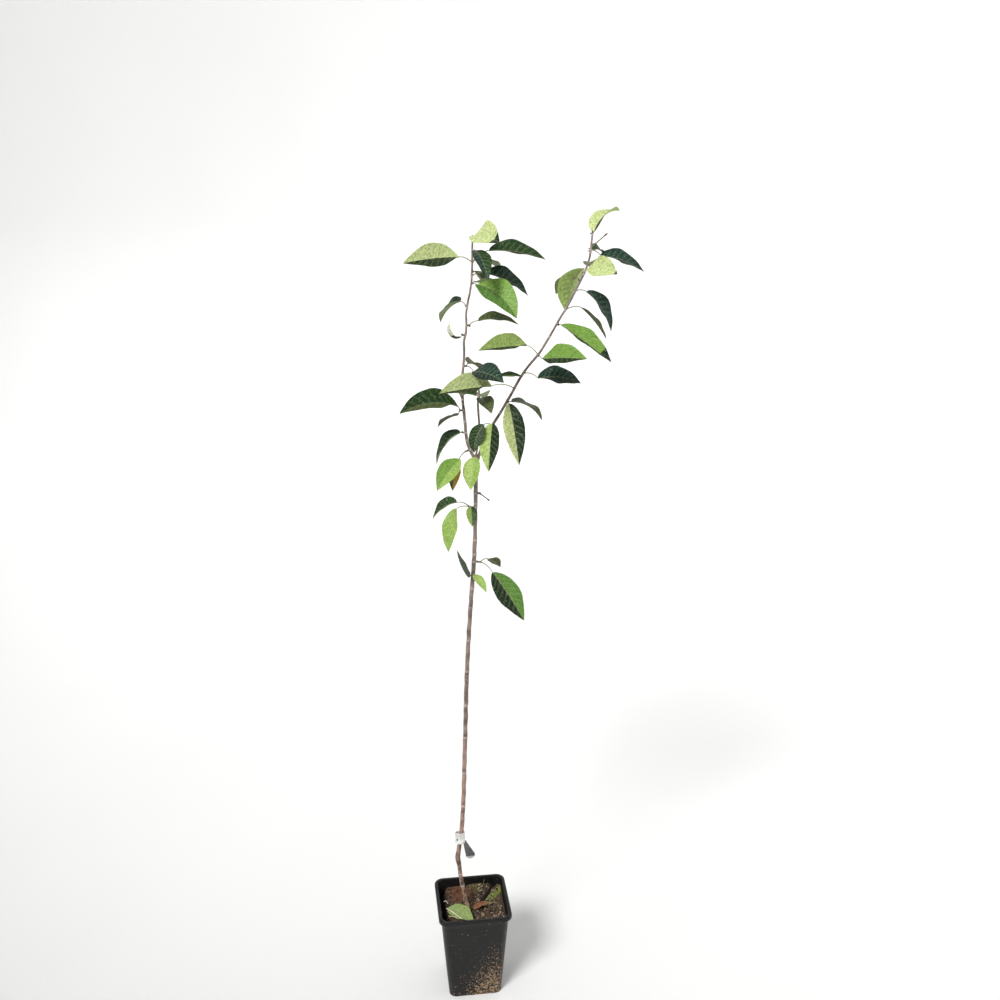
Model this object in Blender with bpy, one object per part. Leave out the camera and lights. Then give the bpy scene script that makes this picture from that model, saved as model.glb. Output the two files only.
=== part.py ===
"""A young potted cherry tree: one slim stem with a low graft bend, a leader, a right bough
and a short middle shoot, large drooping leaves on spurs, and a square pot of compost.

Metres, +Z up. The origin is the centre of the pot's flat underside, and the pot's sides
lie along X and Y. Y grows away from the side that the tree is usually seen from.
"""
import math
import random

import bmesh
import bpy
import numpy as np

MM = 0.001

# Clearances
GAP = 0.3 * MM

# Pot: a tapered square nursery pot of about three litres
POT_HEIGHT = 200 * MM
POT_RIM_SIDE = 150 * MM
POT_BODY_TOP_SIDE = 138.6 * MM
POT_BASE_SIDE = 109 * MM
POT_RIM_CORNER = 18 * MM
POT_BASE_CORNER = 14 * MM
POT_WALL = 1.4 * MM
POT_FLOOR = 2.5 * MM
POT_LIP_HEIGHT = 9 * MM
POT_LIP_ROUND = 1.0 * MM
POT_FOOT_ROUND = 2.0 * MM
POT_CORNER_STEPS = 6
DRAIN_SLOT_WIDTH = 2.6 * MM
DRAIN_SLOT_REACH = 12 * MM
DRAIN_HOLE_RADIUS = 6 * MM
DRAIN_HOLE_OFFSET = 30 * MM
DRAIN_HOLE_SIDES = 16

# Compost: heaped to the back and right, sunk into a trench along the left wall
COMPOST_LEVEL = 178 * MM
COMPOST_RISE_BACK = 5 * MM
COMPOST_RISE_RIGHT = 3 * MM
COMPOST_TRENCH = 24 * MM
COMPOST_TRENCH_START = 44 * MM
COMPOST_TRENCH_END = 64 * MM
COMPOST_CLEARANCE = 0.5 * MM
COMPOST_CRUMB = 1.6 * MM
COMPOST_RINGS = (0.95, 0.86, 0.72, 0.55, 0.38)
STEM_FOOT_PAD = 10 * MM

# Limbs: stations of (x, y, height, radius) in millimetres, joined by a smooth curve
TRUNK = [
    (-11.0, -2.8, 178.3, 7.2),
    (-13.2, -1.2, 188.0, 5.6),
    (-15.6, 0.0, 205.0, 4.8),
    (-22.0, 0.0, 239.0, 4.3),
    (-26.5, 0.0, 277.0, 4.2),
    (-29.3, 0.0, 305.0, 5.0),
    (-27.8, 0.0, 319.0, 4.7),
    (-23.0, 0.0, 349.0, 4.4),
    (-18.0, 0.5, 412.0, 4.3),
    (-12.8, 1.5, 545.0, 4.3),
    (-6.8, 1.5, 722.0, 4.2),
    (2.1, 0.0, 872.0, 4.1),
    (8.4, -0.5, 953.0, 4.0),
    (12.6, 0.0, 1090.0, 3.9),
    (13.2, 0.4, 1125.0, 4.6),
    (13.8, 1.0, 1150.0, 6.6),
]
LEADER = [
    (10.5, 0.0, 1150.3, 3.0),
    (-0.2, 0.0, 1176.0, 2.9),
    (-6.6, 4.0, 1230.0, 2.7),
    (-10.4, 9.0, 1288.0, 2.4),
    (-5.1, 13.0, 1347.0, 2.2),
    (-5.3, 14.0, 1365.0, 2.2),
    (-1.3, 15.0, 1384.0, 2.0),
    (-0.2, 17.0, 1418.0, 1.9),
    (9.0, 21.0, 1465.0, 1.8),
    (11.9, 24.0, 1522.0, 1.7),
    (12.5, 25.0, 1547.0, 1.5),
]
RIGHT_BOUGH = [
    (17.1, 0.0, 1150.3, 2.9),
    (31.8, -3.0, 1191.0, 2.7),
    (69.8, -8.0, 1259.0, 2.5),
    (102.8, -11.0, 1316.6, 2.3),
    (128.4, -14.0, 1349.0, 2.2),
    (154.4, -17.0, 1393.7, 2.0),
    (190.0, -22.0, 1458.8, 1.9),
    (211.6, -24.0, 1510.5, 1.8),
    (216.3, -26.0, 1556.5, 1.6),
]
MIDDLE_SHOOT = [
    (13.8, 5.6, 1150.3, 1.9),
    (19.3, 8.0, 1185.0, 1.9),
    (20.8, 12.0, 1218.0, 1.9),
    (19.6, 16.0, 1254.6, 1.9),
    (21.8, 18.0, 1273.0, 1.7),
]
LIMBS = {"trunk": TRUNK, "leader": LEADER, "right_bough": RIGHT_BOUGH, "middle_shoot": MIDDLE_SHOOT}
# Each bough ends at this height, where its last stretch becomes the stem of a mass
BOUGH_ENDS = {"leader": 1424 * MM, "right_bough": 1410 * MM, "middle_shoot": 1256 * MM}
LIMB_SIDES = 8
STEM_SIDES = 6
LIMB_STEP = 32 * MM

# Spurs: short woody stubs that carry the leaves
SPUR_BASE_RADIUS = 1.9 * MM
SPUR_TIP_RADIUS = 1.6 * MM

# Leaves
BLADE_WIDTH = 0.50
BLADE_FOLD = 20
BLADE_THICKNESS = 0.02
BLADE_STATIONS = (0.0, 0.08, 0.24, 0.45, 0.66, 0.85, 1.0)
STALK_RADIUS = 0.85 * MM
STALK_STEPS = 3
STALK_SAG = 0.12
ROOT_SINK = 1.2 * MM

# Leaves of the far side: mass, then the seat height in mm and the mean heading of each leaf; a
# seeded rule draws its turn, size and slopes
BACK_LEAVES = {
    "crown_left": [(1466, 46), (1486, 60), (1505, 52)],
    "crown_right": [(1474, 120), (1500, 66)],
    "crown_middle": [(1260, 78), (1268, 104)],
}
BACK_TURN = 5
SEED = 7

# Stem label: a blank paper loop with a hanging tail
LABEL_HEIGHT = 25 * MM
LABEL_FOOT = 336 * MM
LABEL_CENTRE = (-24.6 * MM, 0.0)
LABEL_HALF_LENGTH = 9.9 * MM
LABEL_HALF_DEPTH = 5.7 * MM
LABEL_THICKNESS = 0.6 * MM
LABEL_SIDES = 28
TAIL_TOP = (-16.0 * MM, 340 * MM)
TAIL_TURN = 70
TAIL_LENGTH = 45 * MM
TAIL_TOP_WIDTH = 6 * MM
TAIL_END_WIDTH = 19 * MM


def leaf(heading, stalk, stalk_rise, blade, rise, droop=30, roll=0, width=BLADE_WIDTH,
         fold=BLADE_FOLD, at=None):
    """One leaf. heading: compass turn from +X towards +Y; stalk and blade: lengths in mm;
    rises: slopes above level of the stalk and of the line from blade foot to tip; droop:
    how far the midrib bends down along its length; roll: lifts the left edge; at: height of
    the seat in mm on a stem that carries several. Angles are in degrees."""
    return dict(heading=heading, stalk=stalk * MM, stalk_rise=stalk_rise, blade=blade * MM, rise=rise,
                droop=droop, roll=roll, width=width, fold=fold, at=at and at * MM)


# Masses on a spur: limb, height in mm, heading and length in mm of the spur, leaves of the near side
SPUR_MASSES = {
    "leaves_low_right": ("trunk", 951, -15, 9, [
        leaf(-48, 34, -23, 108, -45, 12, 20, width=0.46, fold=10),
        leaf(40, 22, 2, 44, -38, 25, -35),
    ]),
    "leaves_low_left": ("trunk", 926, -110, 4, [
        leaf(-160, 8, -30, 64, 68, -30, 0),
        leaf(-66, 5, 20, 52, -22, 30, 10, width=0.34),
    ]),
    "leaves_stem_left": ("trunk", 1059, 200, 7, [
        leaf(140, 33, 8, 72, -38, 45, -35),
        leaf(-155, 32, 6, 84, -78, 25, -30, width=0.38),
        leaf(-92, 6, 35, 40, -52, 30, 0),
    ]),
    "stub_twig": ("trunk", 1086, -20, 5, []),
    "leaves_fork_front": ("trunk", 1138, -85, 5, [
        leaf(-112, 37, 70, 62, -62, 40, 5, width=0.54),
    ]),
    "leaves_fork_left": ("leader", 1170, 205, 5, [
        leaf(-135, 24, -25, 78, -36, 25, -25),
        leaf(-165, 20, -40, 62, -78, 20, -60, width=0.36),
    ]),
    "leaves_bough_foot": ("right_bough", 1216, -100, 4, [
        leaf(-107, 8, 40, 90, -64, 30, 10, width=0.44),
        leaf(-150, 21, 14, 56, -66, 50, -35),
    ]),
    "leaves_leader_low": ("leader", 1202, 175, 4, [
        leaf(140, 7, -10, 90, -52, 50, -38),
    ]),
    "leaves_leader_left": ("leader", 1243, 190, 5, [
        leaf(127, 10, -60, 66, -30, 30, -5, width=0.4),
        leaf(-163, 10, 60, 115, -2, 50, -42, width=0.46, fold=36),
    ]),
    "leaves_leader_right": ("leader", 1323, -10, 4, [
        leaf(60, 9, 22, 70, -24, 40, 20),
        leaf(-56, 22, -18, 82, -6, 30, 38),
    ]),
    "leaf_curled": ("leader", 1377, -170, 4, [
        leaf(-158, 5, -40, 52, 58, -165, 0, width=0.36),
    ]),
    "leaves_leader_mid": ("leader", 1395, 15, 4, [
        leaf(18, 20, 20, 84, -9, 40, 20, width=0.42),
    ]),
    "leaves_bough_low": ("right_bough", 1260, -80, 4, [
        leaf(-78, 5, -20, 115, -62, 12, 15, width=0.4, fold=35),
        leaf(25, 8, 0, 82, -33, 55, 5),
    ]),
    "leaves_bough_inner": ("right_bough", 1284, -120, 4, [
        leaf(-172, 42, 8, 96, -5, 10, -45, width=0.56, fold=42),
    ]),
    "leaves_bough_lower": ("right_bough", 1313, -75, 4, [
        leaf(-172, 9, -32, 46, 2, 10, -20, width=0.4),
        leaf(10, 27, -23, 86, -10, 35, 40),
    ]),
    "leaves_bough_mid": ("right_bough", 1344, -80, 4, [
        leaf(-165, 31, 40, 92, -2, 12, -45, width=0.5, fold=42),
        leaf(-46, 9, -30, 97, 6, 10, 44, width=0.54, fold=32),
    ]),
    "leaves_bough_upper": ("right_bough", 1400, -60, 4, [
        leaf(-29, 5, 0, 112, -33, 6, 12),
    ]),
}
# Masses at a bough's end: the bough, leaves of the near side on its last stretch
CROWN_MASSES = {
    "crown_left": ("leader", [
        leaf(126, 20, 26, 72, -38, 45, -30, width=0.6, at=1427),
        leaf(-51, 15, 5, 112, -28, 55, 30, at=1466),
        leaf(18, 25, 8, 100, -27, 40, 37, at=1481),
        leaf(-164, 27, 24, 104, -4, 12, -53, width=0.5, fold=26, at=1504),
        leaf(6, 38, 35, 106, -10, 25, 24, at=1503),
        leaf(-80, 23, 17, 88, -32, 50, 0, width=0.36, at=1520),
        leaf(-63, 5, 60, 84, -5, 45, 50, width=0.58, at=1545),
    ]),
    "crown_right": ("right_bough", [
        leaf(5, 31, 6, 75, -51, 20, 0, width=0.4, at=1424),
        leaf(12, 22, -5, 90, -56, 40, 45, at=1457),
        leaf(118, 11, 66, 94, -62, 45, 0, width=0.55, at=1486),
        leaf(-53, 7, 34, 68, -4, 35, 55, width=0.62, at=1492),
        leaf(50, 9, 19, 50, -17, 60, 30, at=1524),
        leaf(12, 22, -28, 92, -20, 30, 32, at=1528),
        leaf(34, 5, 50, 78, 28, 75, -10, width=0.56, at=1554),
    ]),
    "crown_middle": ("middle_shoot", [
        leaf(134, 7, -5, 80, -6, 40, -20, at=1266),
        leaf(-76, 10, -9, 60, -17, 50, 10, at=1265),
    ]),
}
# Bare twigs: mass, heading, rise, length in mm, seat height in mm or None on a spur
BARE_TWIGS = [
    ("stub_twig", -10, -38, 22, None),
    ("crown_right", 10, 38, 38, 1532),
]
TWIG_RADIUS = 1.1 * MM
BUD_RADIUS = 1.7 * MM

# Finishes: base colour, roughness
FINISHES = {
    "pot_plastic": ((0.021, 0.021, 0.020), 0.5),
    "compost": ((0.036, 0.024, 0.016), 0.95),
    "bark": ((0.19, 0.13, 0.105), 0.75),
    "leaf_green": ((0.10, 0.19, 0.045), 0.45),
    "label_paper": ((0.80, 0.80, 0.78), 0.6),
}


def clear_scene():
    for obj in list(bpy.data.objects):
        bpy.data.objects.remove(obj, do_unlink=True)


def finish(name):
    """The Principled material of that name."""
    mat = bpy.data.materials.get(name)
    if mat is None:
        colour, roughness = FINISHES[name]
        mat = bpy.data.materials.new(name)
        mat.use_nodes = True
        shader = mat.node_tree.nodes["Principled BSDF"]
        shader.inputs["Base Color"].default_value = (*colour, 1)
        shader.inputs["Roughness"].default_value = roughness
    return mat


def add_solid(name, verts, faces, material, collection=None):
    """A mesh object from points and faces, its faces turned to point outwards."""
    mesh = bpy.data.meshes.new(name)
    mesh.from_pydata([tuple(map(float, v)) for v in verts], [], faces)
    shape = bmesh.new()
    shape.from_mesh(mesh)
    bmesh.ops.recalc_face_normals(shape, faces=shape.faces)
    shape.to_mesh(mesh)
    shape.free()
    mesh.materials.append(finish(material))
    obj = bpy.data.objects.new(name, mesh)
    (collection or bpy.context.scene.collection).objects.link(obj)
    return obj


def skin(rings):
    """Points and faces of a closed solid through equal rings of points; a ring of one point
    closes an end to a tip, and any other end is closed by a flat face."""
    verts = [p for ring in rings for p in ring]
    starts = np.cumsum([0] + [len(ring) for ring in rings])
    faces = []
    for i in range(len(rings) - 1):
        a, b = int(starts[i]), int(starts[i + 1])
        n, m = len(rings[i]), len(rings[i + 1])
        for j in range(max(n, m)):
            k = (j + 1) % max(n, m)
            if m == 1:
                faces.append((a + j, a + k, b))
            elif n == 1:
                faces.append((a, b + k, b + j))
            else:
                faces.append((a + j, a + k, b + k, b + j))
    if len(rings[0]) > 1:
        faces.append(tuple(range(len(rings[0])))[::-1])
    if len(rings[-1]) > 1:
        faces.append(tuple(int(starts[-2]) + j for j in range(len(rings[-1]))))
    return verts, faces


def direction(heading, rise):
    """The unit vector at a compass heading and a slope above level, both in degrees."""
    h, r = math.radians(heading), math.radians(rise)
    return np.array([math.cos(h) * math.cos(r), math.sin(h) * math.cos(r), math.sin(r)])


def boolean(host, collection, operation, solver="EXACT"):
    """The host's mesh after one Boolean with every object of the collection."""
    cut = host.modifiers.new("cut", "BOOLEAN")
    cut.operation = operation
    cut.operand_type = "COLLECTION"
    cut.collection = collection
    cut.solver = solver
    graph = bpy.context.evaluated_depsgraph_get()
    mesh = bpy.data.meshes.new_from_object(host.evaluated_get(graph))
    host.modifiers.clear()
    return mesh


def is_closed(mesh):
    """Whether every edge of the mesh lies between exactly two faces."""
    sides = np.zeros(len(mesh.edges), dtype=int)
    for poly in mesh.polygons:
        for loop in poly.loop_indices:
            sides[mesh.loops[loop].edge_index] += 1
    return bool((sides == 2).all())


def combine(host, collection, operation):
    """Apply one Boolean to the host, by the second solver where the first leaves the mesh
    open, and remove the collection with its objects."""
    mesh = boolean(host, collection, operation)
    if not is_closed(mesh):
        mesh = boolean(host, collection, operation, "MANIFOLD")
    host.data = mesh
    for obj in list(collection.objects):
        bpy.data.objects.remove(obj, do_unlink=True)
    bpy.data.collections.remove(collection)


def keep_largest_body(obj):
    """Drop sealed hollows and loose scraps: keep the body with the most volume."""
    shape = bmesh.new()
    shape.from_mesh(obj.data)
    unseen = set(shape.verts)
    bodies = []
    while unseen:
        body, front = set(), [unseen.pop()]
        while front:
            vert = front.pop()
            body.add(vert)
            for edge in vert.link_edges:
                other = edge.other_vert(vert)
                if other in unseen:
                    unseen.discard(other)
                    front.append(other)
        bodies.append(body)

    def extent(body):
        points = np.array([v.co[:] for v in body])
        return float(np.prod(points.max(0) - points.min(0) + MM))

    bodies.sort(key=extent, reverse=True)
    for body in bodies[1:]:
        bmesh.ops.delete(shape, geom=list(body), context="VERTS")
    shape.to_mesh(obj.data)
    shape.free()


def split_to_triangles(obj):
    """Split every face into triangles, so that each face of a twisted blade is flat."""
    shape = bmesh.new()
    shape.from_mesh(obj.data)
    bmesh.ops.triangulate(shape, faces=shape.faces[:])
    shape.to_mesh(obj.data)
    shape.free()


def square_ring(side, corner, z):
    """A level square ring of points with round corners."""
    inner = side / 2 - corner
    ring = []
    for quarter, (sx, sy) in enumerate(((1, 1), (-1, 1), (-1, -1), (1, -1))):
        for step in range(POT_CORNER_STEPS + 1):
            angle = math.radians(90 * (quarter + step / POT_CORNER_STEPS))
            ring.append((sx * inner + corner * math.cos(angle), sy * inner + corner * math.sin(angle), z))
    return ring


def pot_side(z):
    """Outer side and corner radius of the pot's tapered body at a height."""
    share = z / (POT_HEIGHT - POT_LIP_HEIGHT)
    side = POT_BASE_SIDE + (POT_BODY_TOP_SIDE - POT_BASE_SIDE) * share
    corner = POT_BASE_CORNER + (POT_RIM_CORNER - POT_BASE_CORNER) * share
    return side, corner


def wall_ring(z, inset):
    side, corner = pot_side(z)
    return square_ring(side - 2 * inset, corner - inset, z)


def make_pot():
    lip_foot = POT_HEIGHT - POT_LIP_HEIGHT
    inner_top = POT_BODY_TOP_SIDE - 2 * POT_WALL
    inner_corner = POT_RIM_CORNER - POT_WALL - 2 * MM
    rings = [
        wall_ring(0, POT_FOOT_ROUND),
        wall_ring(POT_FOOT_ROUND * 0.3, POT_FOOT_ROUND * 0.3),
        wall_ring(POT_FOOT_ROUND, 0),
        wall_ring(lip_foot * 0.5, 0),
        wall_ring(lip_foot, 0),
        square_ring(POT_RIM_SIDE - 2 * POT_LIP_ROUND, POT_RIM_CORNER, lip_foot + 0.4 * MM),
        square_ring(POT_RIM_SIDE, POT_RIM_CORNER, lip_foot + POT_LIP_ROUND),
        square_ring(POT_RIM_SIDE, POT_RIM_CORNER, POT_HEIGHT - POT_LIP_ROUND),
        square_ring(POT_RIM_SIDE - 2 * POT_LIP_ROUND, POT_RIM_CORNER - POT_LIP_ROUND, POT_HEIGHT),
        square_ring(inner_top + 2 * MM, inner_corner + MM, POT_HEIGHT),
        square_ring(inner_top + 0.4 * MM, inner_corner, POT_HEIGHT - 2 * MM),
        wall_ring(lip_foot, POT_WALL),
        wall_ring(lip_foot * 0.5, POT_WALL),
        wall_ring(POT_FLOOR, POT_WALL),
    ]
    pot = add_solid("pot", *skin(rings), "pot_plastic")
    cutters = bpy.data.collections.new("drains")
    bpy.context.scene.collection.children.link(cutters)
    half = POT_BASE_SIDE / 2
    for turn in range(4):
        mid = direction(90 * turn, 0) * half
        along = direction(90 * turn + 90, 0)
        radial = direction(90 * turn, 0)
        box = []
        for z in (-DRAIN_SLOT_REACH, DRAIN_SLOT_REACH):
            for u, v in ((-1, -1), (1, -1), (1, 1), (-1, 1)):
                box.append(mid + radial * u * DRAIN_SLOT_REACH + along * v * DRAIN_SLOT_WIDTH / 2
                           + np.array([0, 0, z]))
        add_solid("slot", *skin([box[:4], box[4:]]), "pot_plastic", cutters)
        hole = direction(90 * turn + 45, 0) * DRAIN_HOLE_OFFSET * math.sqrt(2)
        rings = [[hole + DRAIN_HOLE_RADIUS * direction(360 * k / DRAIN_HOLE_SIDES, 0) + np.array([0, 0, z])
                  for k in range(DRAIN_HOLE_SIDES)] for z in (-POT_FLOOR, 2 * POT_FLOOR)]
        add_solid("hole", *skin(rings), "pot_plastic", cutters)
    combine(pot, cutters, "DIFFERENCE")


def smooth_step(low, high, value):
    share = min(max((value - low) / (high - low), 0), 1)
    return share * share * (3 - 2 * share)


def compost_height(x, y):
    """Height of the compost: sloping up to the back and right, with a trench on the left."""
    half = POT_BODY_TOP_SIDE / 2
    level = COMPOST_LEVEL + COMPOST_RISE_BACK * y / half + COMPOST_RISE_RIGHT * max(x, 0) / half
    return level - COMPOST_TRENCH * smooth_step(COMPOST_TRENCH_START, COMPOST_TRENCH_END, -x)


def make_compost():
    crumb = random.Random(SEED)
    inset = POT_WALL + COMPOST_CLEARANCE
    floor = POT_FLOOR + GAP
    foot = np.array(TRUNK[0][:2]) * MM
    edge = []
    for i, (x, y, _) in enumerate(wall_ring(COMPOST_LEVEL, inset)):
        level = compost_height(x, y)
        px, py, _ = wall_ring(level, inset)[i]
        edge.append((px, py, level))
    rings = [wall_ring(floor, inset), wall_ring(COMPOST_LEVEL * 0.5, inset), edge]
    for share in COMPOST_RINGS:
        ring = []
        for x, y, _ in edge:
            px, py = foot[0] + (x - foot[0]) * share, foot[1] + (y - foot[1]) * share
            ring.append((px, py, compost_height(px, py) + COMPOST_CRUMB * crumb.uniform(-1, 1)))
        rings.append(ring)
    pad = len(edge)
    rings.append([(foot[0] + STEM_FOOT_PAD * (x - foot[0]) / math.hypot(x - foot[0], y - foot[1]),
                   foot[1] + STEM_FOOT_PAD * (y - foot[1]) / math.hypot(x - foot[0], y - foot[1]),
                   COMPOST_LEVEL) for x, y, _ in edge[:pad]])
    add_solid("compost", *skin(rings), "compost")


def smooth_path(stations):
    """A smooth curve through a limb's stations: cubic spans whose slopes at each station are
    the mean of its neighbours', sampled at an even step. Returns points and radii."""
    rows = np.array(stations, dtype=float) * MM
    along = np.concatenate([[0], np.cumsum(np.linalg.norm(np.diff(rows[:, :3], axis=0), axis=1))])
    slopes = np.gradient(rows, along, axis=0)
    samples = []
    for i in range(len(rows) - 1):
        span = along[i + 1] - along[i]
        steps = max(1, round(span / LIMB_STEP))
        t = (np.arange(steps) / steps)[:, None]
        samples.append((2 * t**3 - 3 * t**2 + 1) * rows[i] + (t**3 - 2 * t**2 + t) * span * slopes[i]
                       + (3 * t**2 - 2 * t**3) * rows[i + 1] + (t**3 - t**2) * span * slopes[i + 1])
    samples.append(rows[-1:])
    path = np.concatenate(samples)
    return path[:, :3], path[:, 3]


def limb_at(limb, height):
    """Point, radius and direction of a limb at a height."""
    points, radii = PATHS[limb]
    i = int(np.searchsorted(points[:, 2], height)) - 1
    i = min(max(i, 0), len(points) - 2)
    share = (height - points[i, 2]) / (points[i + 1, 2] - points[i, 2])
    run = points[i + 1] - points[i]
    return points[i] + run * share, radii[i] + (radii[i + 1] - radii[i]) * share, run / np.linalg.norm(run)


def cross_frame(tangent, side_hint):
    side = side_hint - tangent * (side_hint @ tangent)
    side /= np.linalg.norm(side)
    return side, np.cross(tangent, side)


def tube_rings(points, radii, sides, level_foot=False, level_top=False):
    """Rings of a tapering tube across a path; a level end is cut flat and horizontal."""
    tangents = np.gradient(points, axis=0)
    tangents /= np.linalg.norm(tangents, axis=1)[:, None]
    up = np.array([0.0, 0.0, 1.0])
    if level_foot:
        tangents[0] = up
    if level_top:
        tangents[-1] = up
    rings = []
    for point, radius, tangent in zip(points, radii, tangents):
        side, other = cross_frame(tangent, np.array([1.0, 0.0, 0.0]))
        rings.append([point + radius * (side * math.cos(a) + other * math.sin(a))
                      for a in 2 * math.pi * np.arange(sides) / sides])
    return rings


def split_limb(limb):
    """The limb's path below its end height and the stem path above it, GAP apart."""
    points, radii = PATHS[limb]
    end = BOUGH_ENDS.get(limb)
    if end is None:
        return (points, radii), None
    joint, radius, tangent = limb_at(limb, end)
    below = points[:, 2] < end - 4 * MM
    above = points[:, 2] > end + 4 * MM
    lower = (np.vstack([points[below], joint]), np.append(radii[below], radius))
    upper = (np.vstack([joint + tangent * GAP, points[above]]), np.insert(radii[above], 0, radius))
    return lower, upper


def make_limbs():
    for name in LIMBS:
        points, radii = split_limb(name)[0]
        top = name == "trunk"
        add_solid(name, *skin(tube_rings(points, radii, LIMB_SIDES, True, top)), "bark")


def half_width(t):
    """Half width of a blade at a share of its length: egg-shaped with a drawn-out tip."""
    return math.sin(math.pi * t ** 0.82) ** 0.8 * (1 - 0.35 * t ** 6)


def leaf_rings(seat, spec):
    """Four-sided rings of one leaf from a seat inside its stem: a sagging stalk that widens
    into a blade with a folded midrib, an arc from foot to tip, and thin sharp edges."""
    level = direction(spec["heading"], 0)
    up = np.array([0.0, 0.0, 1.0])
    left = np.cross(up, level)
    run = direction(spec["heading"], spec["stalk_rise"])
    foot = seat + run * spec["stalk"]
    start = math.radians(spec["rise"] + spec["droop"] / 2)
    bend = math.radians(spec["droop"])
    blade = spec["blade"]
    thick = BLADE_THICKNESS * blade
    rings = []
    for step in range(STALK_STEPS):
        t = step / STALK_STEPS
        point = seat + run * spec["stalk"] * t + up * STALK_SAG * spec["stalk"] * 4 * t * (1 - t)
        lift = np.cross(run, left)
        across = left
        rings.append([point + across * STALK_RADIUS, point - lift * STALK_RADIUS,
                      point - across * STALK_RADIUS, point + lift * STALK_RADIUS])
    roll, fold = math.radians(spec["roll"]), math.radians(spec["fold"])
    for t in BLADE_STATIONS:
        angle = start - bend * t
        if abs(bend) < 1e-6:
            centre = foot + blade * t * (level * math.cos(start) + up * math.sin(start))
        else:
            centre = foot + blade / bend * (level * (math.sin(start) - math.sin(angle))
                                            + up * (math.cos(angle) - math.cos(start)))
        normal = up * math.cos(angle) - level * math.sin(angle)
        turn = roll * min(1, 0.3 + 2 * t)
        across = left * math.cos(turn) + normal * math.sin(turn)
        face = normal * math.cos(turn) - left * math.sin(turn)
        if t == 1:
            rings.append([centre])
            continue
        wide = STALK_RADIUS + spec["width"] / 2 * blade * half_width(t)
        deep = max(STALK_RADIUS * (1 - t), thick / 2)
        if t > 0.7:
            deep = thick / 2 * (1 - t) / 0.3
        rise = face * wide * math.sin(fold)
        rings.append([centre + across * wide * math.cos(fold) + rise, centre - face * deep,
                      centre - across * wide * math.cos(fold) + rise, centre + face * deep])
    return rings


def twig_rings(seat, heading, rise, length):
    """A bare straight twig that swells to a bud at its tip."""
    run = direction(heading, rise)
    shape = ((0, TWIG_RADIUS), (0.8, TWIG_RADIUS * 0.8), (0.88, BUD_RADIUS), (0.96, BUD_RADIUS * 0.8))
    points = np.array([seat + run * length * t for t, _ in shape])
    rings = tube_rings(points, [r for _, r in shape], STEM_SIDES)
    return rings + [[seat + run * length]]


def back_leaves(name, chooser):
    """Leaves of a mass on the far side, each drawn from a seeded chooser round its heading."""
    return [leaf(heading + chooser.uniform(-BACK_TURN, BACK_TURN), chooser.uniform(10, 20),
                 chooser.uniform(5, 30), chooser.uniform(62, 84), chooser.uniform(-35, -8),
                 chooser.uniform(25, 50), chooser.uniform(-20, 20), at=at)
            for at, heading in BACK_LEAVES[name]]


def make_mass(name, stem_rings, leaves, seats, twigs):
    """One mass: its stem with every leaf and twig fused on."""
    host = add_solid(name, *skin(stem_rings), "leaf_green")
    if not leaves and not twigs:
        return
    parts = bpy.data.collections.new(name + "_parts")
    bpy.context.scene.collection.children.link(parts)
    for spec, seat in zip(leaves, seats):
        add_solid("leaf", *skin(leaf_rings(seat, spec)), "leaf_green", parts)
    for seat, heading, rise, length in twigs:
        add_solid("twig", *skin(twig_rings(seat, heading, rise, length)), "leaf_green", parts)
    combine(host, parts, "UNION")
    keep_largest_body(host)
    split_to_triangles(host)


def spur_axis(limb, height, heading, length):
    """Foot and tip of a spur that stands square to its limb, GAP clear of the limb's skin."""
    point, radius, tangent = limb_at(limb, height)
    out = direction(heading, 0)
    out = out - tangent * (out @ tangent)
    out /= np.linalg.norm(out)
    foot = point + out * (radius + GAP)
    return foot, foot + out * length


def make_masses():
    chooser = random.Random(SEED)
    for name, (limb, height, heading, length, leaves) in SPUR_MASSES.items():
        foot, tip = spur_axis(limb, height * MM, heading, length * MM)
        out = (tip - foot) / np.linalg.norm(tip - foot)
        points = np.array([foot, (foot + tip) / 2, tip])
        radii = [SPUR_BASE_RADIUS, SPUR_TIP_RADIUS, SPUR_TIP_RADIUS]
        rings = tube_rings(points, radii, STEM_SIDES)
        seat = tip - out * ROOT_SINK
        twigs = [(seat, *row[1:3], row[3] * MM) for row in BARE_TWIGS if row[0] == name]
        make_mass(name, rings, leaves, [seat] * len(leaves), twigs)
    for name, (limb, leaves) in CROWN_MASSES.items():
        points, radii = split_limb(limb)[1]
        leaves = leaves + back_leaves(name, chooser)
        seats = [limb_at(limb, spec["at"])[0] for spec in leaves]
        twigs = [(limb_at(limb, row[4] * MM)[0], *row[1:3], row[3] * MM)
                 for row in BARE_TWIGS if row[0] == name]
        make_mass(name, tube_rings(points, radii, STEM_SIDES), leaves, seats, twigs)


def oval(half_length, half_depth, z):
    cx, cy = LABEL_CENTRE
    return [(cx + half_length * math.cos(a), cy + half_depth * math.sin(a), z)
            for a in 2 * math.pi * np.arange(LABEL_SIDES) / LABEL_SIDES]


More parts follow.
